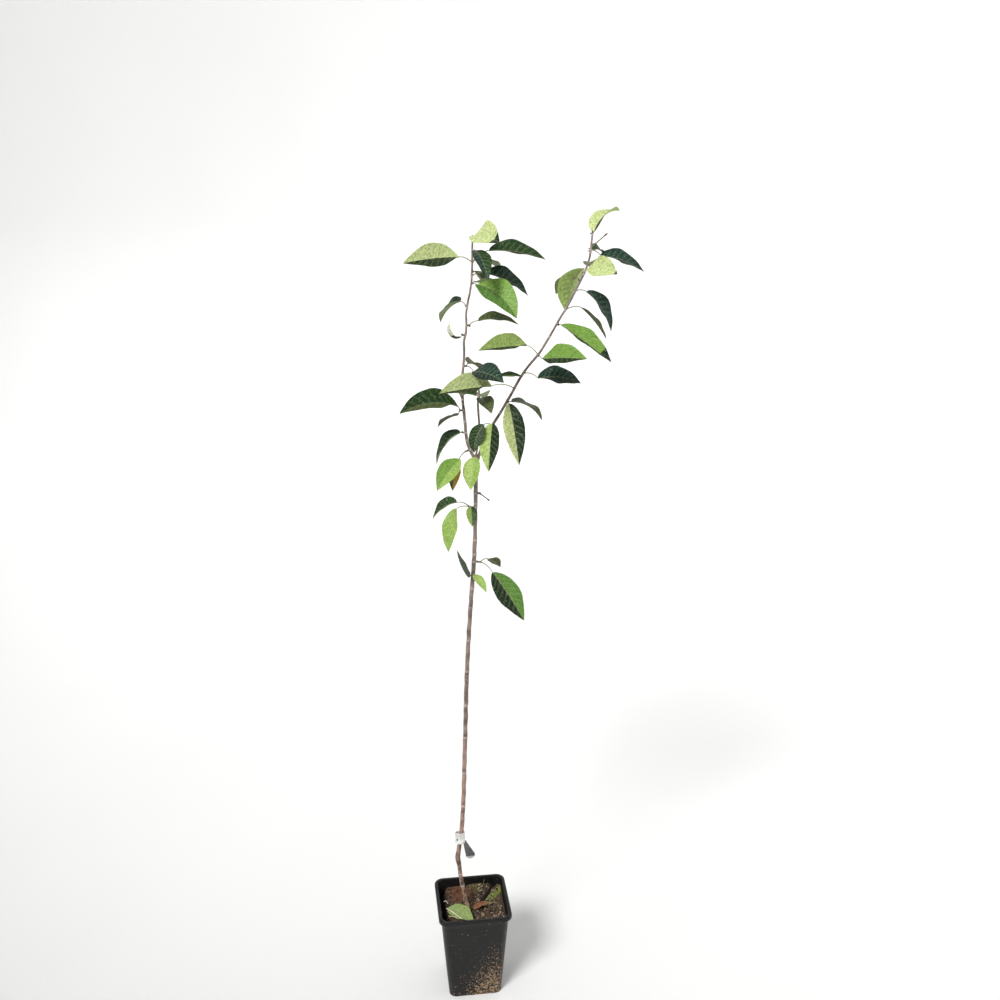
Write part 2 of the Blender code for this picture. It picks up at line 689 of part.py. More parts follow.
def make_label():
    """A blank loop round the stem and a flat tail that widens to a round end."""
    low, high = LABEL_FOOT, LABEL_FOOT + LABEL_HEIGHT
    inner = (LABEL_HALF_LENGTH - LABEL_THICKNESS, LABEL_HALF_DEPTH - LABEL_THICKNESS)
    outer = (LABEL_HALF_LENGTH, LABEL_HALF_DEPTH)
    rings = [oval(*outer, low), oval(*outer, high), oval(*inner, high), oval(*inner, low)]
    n = LABEL_SIDES
    verts = [p for ring in rings for p in ring]
    faces = [(r * n + j, r * n + (j + 1) % n, (r + 1) % 4 * n + (j + 1) % n, (r + 1) % 4 * n + j)
             for r in range(4) for j in range(n)]
    band = add_solid("label", verts, faces, "label_paper")
    turn = math.radians(-TAIL_TURN)
    run = np.array([math.cos(turn), 0, math.sin(turn)])
    wide = np.array([-math.sin(turn), 0, math.cos(turn)])
    top = np.array([TAIL_TOP[0], LABEL_CENTRE[1], TAIL_TOP[1]])
    outline = [(0, -TAIL_TOP_WIDTH / 2), (TAIL_LENGTH - TAIL_END_WIDTH / 2, -TAIL_END_WIDTH / 2)]
    for step in range(1, 8):
        angle = math.pi * step / 8 - math.pi / 2
        outline.append((TAIL_LENGTH - TAIL_END_WIDTH / 2 * (1 - math.cos(angle)),
                        TAIL_END_WIDTH / 2 * math.sin(angle)))
    outline += [(TAIL_LENGTH - TAIL_END_WIDTH / 2, TAIL_END_WIDTH / 2), (0, TAIL_TOP_WIDTH / 2)]
    rings = [[top + run * u + wide * v + np.array([0, y, 0]) for u, v in outline]
             for y in (-LABEL_THICKNESS, 0)]
    parts = bpy.data.collections.new("label_parts")
    bpy.context.scene.collection.children.link(parts)
    add_solid("tail", *skin(rings), "label_paper", parts)
    combine(band, parts, "UNION")


PATHS = {name: smooth_path(stations) for name, stations in LIMBS.items()}
clear_scene()
make_pot()
make_compost()
make_limbs()
make_masses()
make_label()
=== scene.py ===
"""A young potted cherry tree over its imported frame: ringed bark, drooping leaves on woody
spurs, a black nursery pot with compost and litter, and a blank stem label.

Metres, +Z up, in the frame's own axes. The origin is the centre of the pot's underside.
"""
import math
import random

import bmesh
import bpy
import numpy as np
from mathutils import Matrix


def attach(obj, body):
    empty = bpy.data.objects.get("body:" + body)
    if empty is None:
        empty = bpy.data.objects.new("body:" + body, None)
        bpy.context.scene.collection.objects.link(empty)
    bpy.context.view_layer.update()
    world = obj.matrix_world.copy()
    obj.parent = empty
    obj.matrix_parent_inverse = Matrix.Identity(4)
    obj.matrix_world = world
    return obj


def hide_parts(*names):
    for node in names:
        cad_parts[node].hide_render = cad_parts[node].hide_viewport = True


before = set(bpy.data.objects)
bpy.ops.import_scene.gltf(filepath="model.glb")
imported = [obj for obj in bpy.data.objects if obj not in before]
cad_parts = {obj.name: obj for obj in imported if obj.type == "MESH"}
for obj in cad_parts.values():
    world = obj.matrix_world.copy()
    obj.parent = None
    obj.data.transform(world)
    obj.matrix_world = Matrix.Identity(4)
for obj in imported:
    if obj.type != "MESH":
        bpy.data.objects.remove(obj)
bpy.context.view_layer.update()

bl_info = {
    "name": "Potted cherry tree",
    "version": (1, 0, 0),
    "blender": (4, 5, 0),
    "location": "View3D > Sidebar > Tree",
    "description": "Builds a young potted cherry tree and a plain stage for it",
    "category": "Object",
}

MM = 0.001
UP = np.array([0.0, 0.0, 1.0])
GAP = 0.3 * MM
SEED = 7
# Inputs of a colour Mix node
FACTOR, A, B = 0, 6, 7

# Pot: a tapered square nursery pot of about three litres
POT_HEIGHT = 200 * MM
POT_RIM_SIDE = 150 * MM
POT_BODY_TOP_SIDE = 138.6 * MM
POT_BASE_SIDE = 109 * MM
POT_RIM_CORNER = 18 * MM
POT_BASE_CORNER = 14 * MM
POT_WALL = 1.4 * MM
POT_FLOOR = 2.5 * MM
POT_LIP_HEIGHT = 9 * MM
POT_FOOT_ROUND = 2 * MM
POT_CORNER_STEPS = 14
# Rolled lip, in mm: inset from the rim and height over the lip's foot
POT_LIP = ((1.4, 0.1), (0.4, 0.4), (0, 1.2), (0, 3.5), (0, 6.5), (0.15, 7.8), (0.6, 8.7),
           (1.3, 9.0))
# Mouth, in mm: widening of the side and of the corner, and depth below the rim
POT_MOUTH = ((3.0, 1.0, 0), (1.2, 0.5, 0.5), (0.4, 0, 2.0))
DRAIN_SLOT_WIDTH = 2.6 * MM
DRAIN_SLOT_REACH = 12 * MM
DRAIN_HOLE_RADIUS = 6 * MM
DRAIN_HOLE_OFFSET = 30 * MM
DRAIN_HOLE_SIDES = 32

# Compost: higher to the back and right, sunk into a trench along the left wall
COMPOST_LEVEL = 178 * MM
COMPOST_RISE_BACK = 5 * MM
COMPOST_RISE_RIGHT = 3 * MM
COMPOST_TRENCH = 24 * MM
COMPOST_TRENCH_START = 44 * MM
COMPOST_TRENCH_END = 64 * MM
COMPOST_CLEARANCE = 0.5 * MM
COMPOST_GRID = 130
MOSS_RIDGE = ((30 * MM, 12 * MM), (72 * MM, 52 * MM))
# The groove is sunk and painted near black as shade
SHADED_GROOVE = ((57 * MM, 70 * MM), (17 * MM, 8 * MM))
BACK_HEAP = ((12 * MM, 56 * MM),) * 2
SMALL_PIT = ((36.6 * MM, -19 * MM),) * 2
RED_PATCH = (-24 * MM, 42 * MM)
RED_REACH = 24 * MM
RED_STRETCH = 1.3
# Forms of the compost: ends of the line they follow, height and reach to either side
COMPOST_FORMS = ((BACK_HEAP, 5 * MM, 17 * MM), (MOSS_RIDGE, 3 * MM, 9 * MM),
                 (SHADED_GROOVE, -9 * MM, 5 * MM), (SMALL_PIT, -6 * MM, 5 * MM))
# Lumps of the compost: size, height and seed
COMPOST_LUMPS = ((11 * MM, 1.6 * MM, 1), (5 * MM, 1.0 * MM, 2), (2.6 * MM, 0.7 * MM, 3))
CRUMB_TONES = {
    "earth": ("#2f2117", "#4b3627", "#6d543e", "#8d7760"),
    "red": ("#7c4429", "#5a3020", "#8f5a3c"),
    "moss": ("#8a9a38", "#a7b34a", "#66752c"),
    "pale": ("#a89880", "#c7bba4"),
}
CRUMB_EDGE = 8 * MM
CRUMB_STEM_CLEARANCE = 10 * MM
# Straws and a stalk: three points in mm along each, radius in mm, tone
STRAWS = (
    ((-56, -14, 190.5), (-42, -34, 192.5), (-27, -52, 190.5), 1.0, "#efe6c4"),
    ((-54, -36, 188.5), (-45, -41, 189.5), (-35, -44, 189.0), 0.7, "#e4d8b0"),
    ((-59, 16, 184.0), (-55, 13, 188.0), (-51, 10, 183.0), 0.9, "#e9e4d6"),
    ((27, -8, 184.5), (36, -4, 186.0), (44, 0, 184.0), 0.7, "#d9c49a"),
    ((31, 62, 183.0), (31, 63, 189.0), (32, 63, 196.0), 0.8, "#8b9450"),
)

# Limbs: stations of (x, y, height, radius) in millimetres, joined by a smooth curve
TRUNK = [
    (-11.0, -2.8, 178.3, 7.2), (-13.2, -1.2, 188.0, 5.6), (-15.6, 0.0, 205.0, 4.8),
    (-22.0, 0.0, 239.0, 4.3), (-26.5, 0.0, 277.0, 4.2), (-29.3, 0.0, 305.0, 5.0),
    (-27.8, 0.0, 319.0, 4.7), (-23.0, 0.0, 349.0, 4.4), (-18.0, 0.5, 412.0, 4.3),
    (-12.8, 1.5, 545.0, 4.3), (-6.8, 1.5, 722.0, 4.2), (2.1, 0.0, 872.0, 4.1),
    (8.4, -0.5, 953.0, 4.0), (12.6, 0.0, 1090.0, 3.9), (13.2, 0.4, 1125.0, 4.6),
]
LEADER = [
    (10.5, 0.0, 1150.3, 3.0), (-0.2, 0.0, 1176.0, 2.9), (-6.6, 4.0, 1230.0, 2.7),
    (-10.4, 9.0, 1288.0, 2.4), (-5.1, 13.0, 1347.0, 2.2), (-5.3, 14.0, 1365.0, 2.2),
    (-1.3, 15.0, 1384.0, 2.0), (-0.2, 17.0, 1418.0, 1.9), (9.0, 21.0, 1465.0, 1.8),
    (11.9, 24.0, 1522.0, 1.7), (12.5, 25.0, 1547.0, 1.5),
]
RIGHT_BOUGH = [
    (17.1, 0.0, 1150.3, 2.9), (31.8, -3.0, 1191.0, 2.7), (69.8, -8.0, 1259.0, 2.5),
    (102.8, -11.0, 1316.6, 2.3), (128.4, -14.0, 1349.0, 2.2), (154.4, -17.0, 1393.7, 2.0),
    (190.0, -22.0, 1458.8, 1.9), (211.6, -24.0, 1510.5, 1.8), (216.3, -26.0, 1556.5, 1.6),
]
MIDDLE_SHOOT = [
    (13.8, 5.6, 1150.3, 1.9), (19.3, 8.0, 1185.0, 1.9), (20.8, 12.0, 1218.0, 1.9),
    (19.6, 16.0, 1254.6, 1.9), (21.8, 18.0, 1273.0, 1.7),
]
LIMBS = {"trunk": TRUNK, "leader": LEADER, "right_bough": RIGHT_BOUGH,
         "middle_shoot": MIDDLE_SHOOT}
# The bark grows on past the stations: a foot in the compost, a domed fork, sunk bough feet
TRUNK_FOOT = [(-9.8, -3.6, 168.0, 8.6)]
TRUNK_DOME = [(13.7, 0.8, 1143.0, 5.9), (13.9, 1.0, 1153.0, 5.2), (14.0, 1.0, 1160.0, 2.6),
              (14.0, 1.0, 1162.0, 0.8)]
LEADER_FOOT = [(13.4, 0.4, 1124.0, 3.0)]
BOUGH_FOOT = [(13.9, 0.2, 1124.0, 3.0)]
SHOOT_FOOT = [(13.6, 1.4, 1130.0, 1.9)]
ROOTS = [
    [(-15.4, 0.6, 209.0, 2.8), (-19.5, 6.0, 194.0, 2.7), (-22.0, 11.5, 180.0, 2.4),
     (-24.5, 16.0, 170.0, 2.0)],
    [(-12.2, -2.0, 192.0, 3.4), (-8.0, -6.0, 180.5, 3.2), (-3.0, -9.0, 171.0, 2.4)],
]
LIMB_STEP = 2 * MM
# Heights in mm of the rings round each limb, besides those at its leaves
LIMB_RINGS = {
    "trunk": [234, 262, 423, 499, 578, 649, 723, 789, 897, 966, 994, 1066, 1112],
    "leader": [1188, 1222, 1262, 1290],
    "right_bough": [1178, 1238, 1376],
    "middle_shoot": [1205, 1236],
}
RING_WIDTH = 2.2 * MM
RING_LINE = 1.5 * MM
# Ripples of the bark: waves round the limb and their height as a share of its radius
RIPPLES = ((1, 0.05), (2, 0.035), (3, 0.025), (5, 0.018))

# Spurs, buds and leaf stalks
SPUR_BASE_RADIUS = 2.1 * MM
SPUR_TIP_RADIUS = 1.6 * MM
SPUR_RING = 0.2 * MM
SPUR_SINK = 1.2 * MM
SPUR_BUDS = 3
SPUR_BUD_RADIUS = 1.2 * MM
STALK_RADIUS = 0.85 * MM
STALK_SAG = 0.12
ROOT_SINK = 1.2 * MM
TWIG_RADIUS = 1.1 * MM
BUD_RADIUS = 1.7 * MM
# A bud's outline: share of its length and share of its radius
BUD_SHAPE = ((0, 0.55), (0.15, 0.85), (0.35, 1.0), (0.55, 0.92), (0.75, 0.65), (0.92, 0.28),
             (1, 0.08))

# Leaf blades
BLADE_THICKNESS = 0.35 * MM
TIP_WIDTH = 0.15 * MM
VEIN_PAIRS = 9
VEIN_SWEEP = 1.5
TEETH = 30
RIB_WIDTH = 0.9 * MM
RIB_DEPTH = 0.35 * MM
FOLD_SOFTNESS = 0.06
EDGE_CURL = 0.06
EDGE_WAVES = 2.4

# Stem label: a blank paper loop with a hanging tail
LABEL_HEIGHT = 25 * MM
LABEL_FOOT = 336 * MM
LABEL_CENTRE = (-24.6 * MM, 0.0)
LABEL_HALF_LENGTH = 9.9 * MM
LABEL_HALF_DEPTH = 5.7 * MM
LABEL_THICKNESS = 0.6 * MM
# Box where the band is painted dark grey: the painted shade of a slit
LABEL_SLIT = ((-32.0 * MM, -29.5 * MM), (344 * MM, 350 * MM))
TAIL_TOP = (-16.0 * MM, 340 * MM)
TAIL_TURN = 70
TAIL_LENGTH = 45 * MM
TAIL_TOP_WIDTH = 6 * MM
TAIL_END_WIDTH = 19 * MM
TAIL_BOW = 1.2 * MM
# How far down the tail its painted shade reaches; below it the end is paler
TAIL_SHADE_LENGTH = 37 * MM
# Steps up and round the loop, and along and across the tail
LABEL_STEPS, LABEL_SIDES = 14, 96
TAIL_STEPS, TAIL_COLUMNS = 40, 9

# Stage: a flat disc whose rim curves up into a wall, and where the key light stands
FLOOR_REACH = 3.0
FLOOR_BEND = 1.4
WALL_HEIGHTS = [2.4, 3.6]
FLOOR_SIDES = 72
# Size in metres of the sweep's faint unevenness
HAZE_SIZE = 1 / 1.5
KEY_TILT = 44
KEY_TURN = -38

# Leaf tones, by what the light does to each half of a blade in the open
TONES = {
    "pale": "#dbe7a4", "bright": "#b9d27a", "lime": "#a3c264", "mid": "#84ad4d",
    "green": "#5f8a3a", "leaf": "#466f2c", "dark": "#25451f", "night": "#162c17",
    "blue": "#1f403a", "sea": "#15302b", "olive": "#56613a", "brown": "#6b6239",
    "slate": "#40503f", "yellow": "#d8ab3e", "white": "#e8ecd4", "back": "#8c9e66",
    "fresh": "#93a766", "dead": "#86492f",
}
# The sunlit stalk tone is painted light, given to the stalks of leaves painted sunlit
WOOD_TONES = {"spur": "#7d6c60", "bud": "#6f4f3c", "twig": "#8b8170", "twig_bud": "#7a6248",
              "sunlit_stalk": "#b0aa7a", "stalk": "#948c6e"}


def leaf(heading, stalk, stalk_rise, blade, rise, droop=30, roll=0, width=0.5, fold=20, at=None,
         look="leaf leaf", end=None, wave=1.0):
    """One leaf. heading: compass turn from +X towards +Y; stalk and blade: lengths in mm;
    rises: slopes above level; droop: how far the midrib bends down; roll: lifts the left edge;
    at: seat height in mm on a bough; look: one tone, or those of the left half, the right half
    and, where it isn't the usual one, the underside, tones with the sunlight and shade on each
    painted in; end: a share of the length and the tone beyond it, light and shade painted in the
    same way; wave: how curly the edge is. Angles are in degrees."""
    tones = look.split()
    tones = tones * 3 if len(tones) == 1 else (tones + ["back"])[:3]
    return dict(heading=heading, stalk=stalk * MM, stalk_rise=stalk_rise, blade=blade * MM,
                rise=rise, droop=droop, roll=roll, width=width, fold=fold, at=at and at * MM,
                look=tones, end=end, wave=wave)


# Masses on a spur: limb, height in mm, heading and length in mm of the spur, leaves
SPUR_MASSES = {
    "leaves_low_right": ("trunk", 951, -15, 9, [
        leaf(-48, 34, -23, 108, -45, 12, 20, width=0.46, fold=10, look="green night"),
        leaf(40, 22, 2, 44, -38, 25, -35, look="dark dark olive"),
    ]),
    "leaves_low_left": ("trunk", 926, -110, 4, [
        leaf(-160, 8, -30, 64, 68, -30, 0, look="slate"),
        leaf(-66, 5, 20, 52, -22, 30, 10, width=0.34, look="lime bright"),
    ]),
    "leaves_stem_left": ("trunk", 1059, 200, 7, [
        leaf(140, 33, 8, 72, -38, 45, -35, look="leaf dark"),
        leaf(-155, 32, 6, 84, -78, 25, -30, width=0.38, look="lime lime"),
        leaf(-92, 6, 35, 40, -52, 30, 0, look="dark lime"),
    ]),
    "stub_twig": ("trunk", 1086, -20, 5, []),
    "leaves_fork_front": ("trunk", 1138, -85, 5, [
        leaf(-112, 37, 70, 62, -62, 40, 5, width=0.54, look="lime bright"),
    ]),
    "leaves_fork_left": ("leader", 1170, 205, 5, [
        leaf(-135, 24, -25, 78, -36, 25, -25, look="lime mid"),
        leaf(-165, 20, -40, 62, -78, 20, -60, width=0.36, look="yellow olive yellow"),
    ]),
    "leaves_bough_foot": ("right_bough", 1216, -100, 4, [
        leaf(-107, 8, 40, 90, -64, 30, 10, width=0.44, look="night bright"),
        leaf(-150, 21, 14, 56, -66, 50, -35, look="slate dark olive"),
    ]),
    "leaves_leader_low": ("leader", 1202, 175, 4, [
        leaf(140, 6, -10, 90, -52, 50, -40, look="leaf dark"),
    ]),
    "leaves_leader_left": ("leader", 1243, 190, 5, [
        leaf(127, 10, -60, 66, -30, 30, -5, width=0.4, look="olive dark olive"),
        leaf(-163, 10, 60, 115, -2, 50, -42, width=0.46, fold=36, look="olive dark olive"),
    ]),
    "leaves_leader_right": ("leader", 1323, -10, 4, [
        leaf(60, 9, 22, 70, -24, 40, 20, look="brown"),
        leaf(-56, 22, -18, 82, -6, 30, 38, look="blue sea blue"),
    ]),
    "leaf_curled": ("leader", 1377, -170, 4, [
        leaf(-158, 5, -40, 52, 58, -165, 0, width=0.36, look="night", end=(0.42, "white")),
    ]),
    "leaves_leader_mid": ("leader", 1395, 15, 4, [
        leaf(18, 20, 20, 84, -9, 40, 20, width=0.42, look="olive dark"),
    ]),
    "leaves_bough_low": ("right_bough", 1260, -80, 4, [
        leaf(-78, 5, -20, 115, -62, 12, 15, width=0.4, fold=35, look="night pale"),
        leaf(25, 8, 0, 82, -33, 55, 5, look="slate dark olive"),
    ]),
    "leaves_bough_inner": ("right_bough", 1284, -120, 4, [
        leaf(-172, 42, 8, 96, -5, 10, -45, width=0.56, fold=42, look="night pale"),
    ]),
    "leaves_bough_lower": ("right_bough", 1313, -75, 4, [
        leaf(-172, 9, -32, 46, 2, 10, -20, width=0.4, look="mid dark olive"),
        leaf(10, 27, -23, 86, -10, 35, 40, look="blue sea blue"),
    ]),
    "leaves_bough_mid": ("right_bough", 1344, -80, 4, [
        leaf(-165, 31, 40, 92, -2, 12, -45, width=0.5, fold=42, look="night bright"),
        leaf(-46, 9, -30, 97, 6, 10, 44, width=0.54, fold=32, look="mid night"),
    ]),
    "leaves_bough_upper": ("right_bough", 1400, -60, 4, [
        leaf(-29, 5, 0, 112, -33, 6, 12, look="mid dark", end=(0.78, "night")),
    ]),
}
# Masses at a bough's end: the bough, leaves of the near side on its last stretch
CROWN_MASSES = {
    "crown_left": ("leader", [
        leaf(126, 20, 26, 72, -38, 45, -30, width=0.6, at=1427, look="leaf dark"),
        leaf(-51, 15, 5, 112, -28, 55, 30, at=1466, look="mid green"),
        leaf(18, 25, 8, 100, -27, 40, 37, at=1481, look="blue sea blue"),
        leaf(-164, 27, 24, 104, -4, 12, -53, width=0.5, fold=26, at=1504, look="night pale"),
        leaf(6, 38, 35, 106, -10, 25, 24, at=1503, look="dark night"),
        leaf(-80, 23, 17, 88, -32, 50, 0, width=0.36, at=1520, look="dark blue"),
        leaf(-63, 5, 60, 84, -5, 45, 50, width=0.58, at=1545, look="pale pale",
             end=(0.8, "night")),
    ]),
    "crown_right": ("right_bough", [
        leaf(5, 31, 6, 75, -51, 20, 0, width=0.4, at=1424, look="dark dark olive"),
        leaf(12, 22, -5, 90, -56, 40, 45, at=1457, look="blue sea blue"),
        leaf(118, 11, 66, 94, -62, 45, 0, width=0.55, at=1486, look="lime lime bright"),
        leaf(-53, 7, 34, 68, -4, 35, 55, width=0.62, at=1492, look="pale", end=(0.92, "night")),
        leaf(50, 9, 19, 50, -17, 60, 30, at=1524, look="dark dark olive"),
        leaf(12, 22, -28, 92, -20, 30, 32, at=1528, look="blue sea blue"),
        leaf(34, 5, 50, 78, 28, 75, -10, width=0.56, at=1554, look="pale night bright"),
    ]),
    "crown_middle": ("middle_shoot", [
        leaf(134, 7, -5, 80, -6, 40, -20, at=1266, look="leaf dark olive"),
        leaf(-76, 10, -9, 60, -17, 50, 10, at=1265, look="olive olive"),
    ]),
}
# Leaves of the far side: mass, then the seat height in mm and the mean heading of each leaf; a
# seeded rule draws its turn, size and slopes
BACK_LEAVES = {
    "crown_left": [(1466, 46), (1486, 60), (1505, 52)],
    "crown_right": [(1474, 120), (1500, 66)],
    "crown_middle": [(1260, 78), (1268, 104)],
}
BACK_TURN = 5
# Bare twigs: mass, heading, rise, length in mm, seat height in mm or None on a spur
BARE_TWIGS = [
    ("stub_twig", -10, -38, 22, None),
    ("crown_right", 10, 38, 38, 1532),
]
GROUPS = {
    "stem": ["leaves_low_right", "leaves_low_left", "leaves_stem_left", "stub_twig",
             "leaves_fork_front"],
    "leader": ["leaves_fork_left", "leaves_leader_low", "leaves_leader_left",
               "leaves_leader_right", "leaf_curled", "leaves_leader_mid"],
    "bough": ["leaves_bough_foot", "leaves_bough_low", "leaves_bough_inner",
              "leaves_bough_lower", "leaves_bough_mid", "leaves_bough_upper"],
    "crown_left": ["crown_left"],
    "crown_right": ["crown_right", "crown_middle"],
}
# Litter: where the foot of each fallen leaf lies, in mm, and the leaf
FALLEN_LEAVES = (
    ((-50, -3, 184.5), leaf(-45, 4, 0, 66, -2, 16, 4, width=0.62, fold=8, look="fresh", wave=3.2)),
    ((0.5, -13, 182.5), leaf(12, 3, 8, 36, 8, 40, -15, width=0.66, fold=14, look="dead", wave=3)),
)


def to_linear(code):
    """Linear colour with full alpha from an sRGB hex code."""
    values = [int(code[i:i + 2], 16) / 255 for i in (1, 3, 5)]
    return tuple(v / 12.92 if v <= 0.04045 else ((v + 0.055) / 1.055) ** 2.4
                 for v in values) + (1.0,)


def node(tree, kind, settings=None, links=None, out=None):
    """Add one shader node with its settings and its incoming links. Returns the output of that
    name, or else the first one in use."""
    made = tree.nodes.new("ShaderNode" + kind)
    for key, value in (settings or {}).items():
        if isinstance(key, str) and key in made.bl_rna.properties:
            setattr(made, key, value)
        else:
            made.inputs[key].default_value = value
    for key, socket in (links or {}).items():
        tree.links.new(socket, made.inputs[key])
    return made.outputs[out] if out else next(one for one in made.outputs if one.enabled)


def new_material(name, roughness, specular=0.5):
    """A Principled material of that name, with its node tree, shader and coordinates."""
    mat = bpy.data.materials.new(name)
    mat.use_nodes = True
    tree = mat.node_tree
    shader = tree.nodes["Principled BSDF"]
    shader.inputs["Roughness"].default_value = roughness
    shader.inputs["Specular IOR Level"].default_value = specular
    return mat, tree, shader, node(tree, "TexCoord", out="Object")


def blotches(tree, place, base, tone, size, limits, most, detail=5.0, roughness=0.5,
             blend="MIX", within=None):
    """Lay a tone over the base, a hex code or a colour, in blotches of a size: none where noise
    is under the first limit, up to the most over the second, and only within a mask. Returns
    the colour and the noise."""
    noise = node(tree, "TexNoise", {"Scale": 1 / size, "Detail": detail, "Roughness": roughness},
                 {"Vector": place})
    mask = node(tree, "MapRange", {"From Min": limits[0], "From Max": limits[1], "To Max": most},
                {"Value": noise})
    if within:
        mask = node(tree, "Math", {"operation": "MULTIPLY"}, {0: mask, 1: within})
    settings = {"data_type": "RGBA", "blend_type": blend, B: to_linear(tone)}
    links = {FACTOR: mask}
    if isinstance(base, str):
        settings[A] = to_linear(base)
    else:
        links[A] = base
    return node(tree, "Mix", settings, links), noise


def marked(tree, base, name, tone, strength):
    """Lay a tone over the base by a point value of the mesh times a strength."""
    value = node(tree, "Attribute", {"attribute_name": name}, out="Fac")
    amount = node(tree, "Math", {"operation": "MULTIPLY", 1: strength}, {0: value})
    return node(tree, "Mix", {"data_type": "RGBA", B: to_linear(tone)}, {FACTOR: amount, A: base})


def plug(tree, shader, colour, height, strength, distance):
    """Give the shader its colour and a bump from a height."""
    tree.links.new(colour, shader.inputs["Base Color"])
    bump = node(tree, "Bump", {"Strength": strength, "Distance": distance}, {"Height": height})
    tree.links.new(bump, shader.inputs["Normal"])


def blade_material(settings):
    """Satin cherry leaf: each half keeps its own tone, in which sunlight and shade are painted,
    and pale veins, a dark net and light flecks give the eye the quilted blades."""
    # The net and the flecks are drawn about three times as coarse as real ones, which would be
    # too fine to show
    mat, tree, shader, place = new_material("satin cherry leaf", 0.5, 0.25)
    # The tint holds each half's painted light and painted shade
    tint = node(tree, "Attribute", {"attribute_name": "tint"}, out="Color")
    netted, _ = blotches(tree, place, tint, "#a3b08c", 3.4 * MM, (0.42, 0.6), 0.7, 4.0, 0.7,
                         "MULTIPLY")
    flecked, _ = blotches(tree, place, netted, "#c9d89c", 2.6 * MM, (0.62, 0.7), 0.35, 2.0)
    veined = marked(tree, flecked, "mark", "#d2dfa8", settings.vein_contrast)
    grain = node(tree, "TexNoise", {"Scale": 1 / (1.2 * MM), "Detail": 2.0}, {"Vector": place})
    plug(tree, shader, veined, grain, 0.3, 0.15 * MM)
    return mat


def tinted_material(name, roughness, mottle_size, bump_height):
    """A matt natural surface whose tone is dealt out piece by piece and mottled darker, which
    gives the eye wood, earth, straw and paper."""
    mat, tree, shader, place = new_material(name, roughness)
    tint = node(tree, "Attribute", {"attribute_name": "tint"}, out="Color")
    mottled, noise = blotches(tree, place, tint, "#8c8880", mottle_size, (0.35, 0.7), 0.6,
                              blend="MULTIPLY")
    plug(tree, shader, mottled, noise, 0.4, bump_height)
    return mat


def bark_material():
    """Smooth young cherry bark: tan and streaked dark low down, grey-brown above, with pale
    rings at the nodes, dark stains and short level dashes."""
    mat, tree, shader, place = new_material("smooth young bark", 0.62)
    height = node(tree, "SeparateXYZ", links={0: place}, out="Z")
    up = node(tree, "MapRange", {"From Min": 0.3, "From Max": 0.9}, {"Value": height})
    low = node(tree, "MapRange", {"From Min": 0.42, "From Max": 0.3}, {"Value": height})
    tall = node(tree, "Mapping", {"Scale": (1.0, 1.0, 0.25)}, {"Vector": place})
    flat = node(tree, "Mapping", {"Scale": (1.0, 1.0, 5.0)}, {"Vector": place})
    base = node(tree, "Mix", {"data_type": "RGBA", A: to_linear("#a4806e"),
                              B: to_linear("#8f8079")}, {FACTOR: up})
    stained, _ = blotches(tree, place, base, "#51433d", 16 * MM, (0.45, 0.66), 0.85)
    streaked, _ = blotches(tree, tall, stained, "#3c312b", 4.5 * MM, (0.42, 0.56), 0.85, 4.0,
                           within=low)
    dashed, dashes = blotches(tree, flat, streaked, "#c4b5aa", 6 * MM, (0.58, 0.68), 0.5, 2.0)
    ringed = marked(tree, dashed, "mark", "#d6cac2", 0.75)
    plug(tree, shader, ringed, dashes, 0.5, 0.3 * MM)
    return mat


def pot_material():
    """Black satin plastic under dust: grey specks all over, and tan soil splashed thickly over
    the low right part of the near side."""
    # The specks and the splashes are drawn far coarser than real dust, which would be too fine
    # to show
    mat, tree, shader, place = new_material("dusty black plastic", 0.5, 0.3)
    axes = node(tree, "SeparateXYZ", links={0: place}).node.outputs
    body, _ = blotches(tree, place, "#121212", "#403e3a", 1.6 * MM, (0.55, 0.8), 0.5, 3.0)
    near = node(tree, "MapRange", {"From Min": -45 * MM, "From Max": -52 * MM},
                {"Value": axes["Y"]})
    top = node(tree, "MapRange", {"From Min": -42 * MM, "From Max": 30 * MM, "To Min": 48 * MM,
                                  "To Max": 150 * MM}, {"Value": axes["X"]})
    under = node(tree, "Math", {"operation": "SUBTRACT"}, {0: top, 1: axes["Z"]})
    thick = node(tree, "MapRange", {"From Min": 0.0, "From Max": 110 * MM, "To Max": 0.17},
                 {"Value": under})
    masked = node(tree, "Math", {"operation": "MULTIPLY"}, {0: thick, 1: near})
    crumbs = node(tree, "TexNoise", {"Scale": 1 / (3.4 * MM), "Detail": 4.0, "Roughness": 0.6},
                  {"Vector": place})
    total = node(tree, "Math", {"operation": "ADD"}, {0: crumbs, 1: masked})
    splash = node(tree, "MapRange", {"From Min": 0.66, "From Max": 0.71}, {"Value": total})
    soil, _ = blotches(tree, place, "#7d5f45", "#b39a7c", 5 * MM, (0, 1), 1.0, 1.0)
    dirty = node(tree, "Mix", {"data_type": "RGBA"}, {FACTOR: splash, A: body, B: soil})
    rough = node(tree, "MapRange", {"To Min": 0.45, "To Max": 0.95}, {"Value": splash})
    tree.links.new(rough, shader.inputs["Roughness"])
    plug(tree, shader, dirty, total, 0.35, 0.3 * MM)
    return mat


def compost_material():
    """Crumbly dark compost with a reddish patch behind the stem, moss along a ridge, and
    near-black painted shade in the hollows and the trench along the left wall."""
    mat, tree, shader, place = new_material("crumbly compost", 0.95)
    tone, fine = blotches(tree, place, "#150e09", "#6b5743", 2.2 * MM, (0.4, 0.66), 1.0, 6.0, 0.7)
    tone = marked(tree, tone, "red", "#7d4a2e", 0.65)
    tone = marked(tree, tone, "moss", "#7f8b34", 0.8)
    # Painted shade: the groove, the small pit and the trench along the left wall go near black
    tone = marked(tree, tone, "pit", "#0c0907", 1.0)
    plug(tree, shader, tone, fine, 0.9, 1.2 * MM)
    return mat


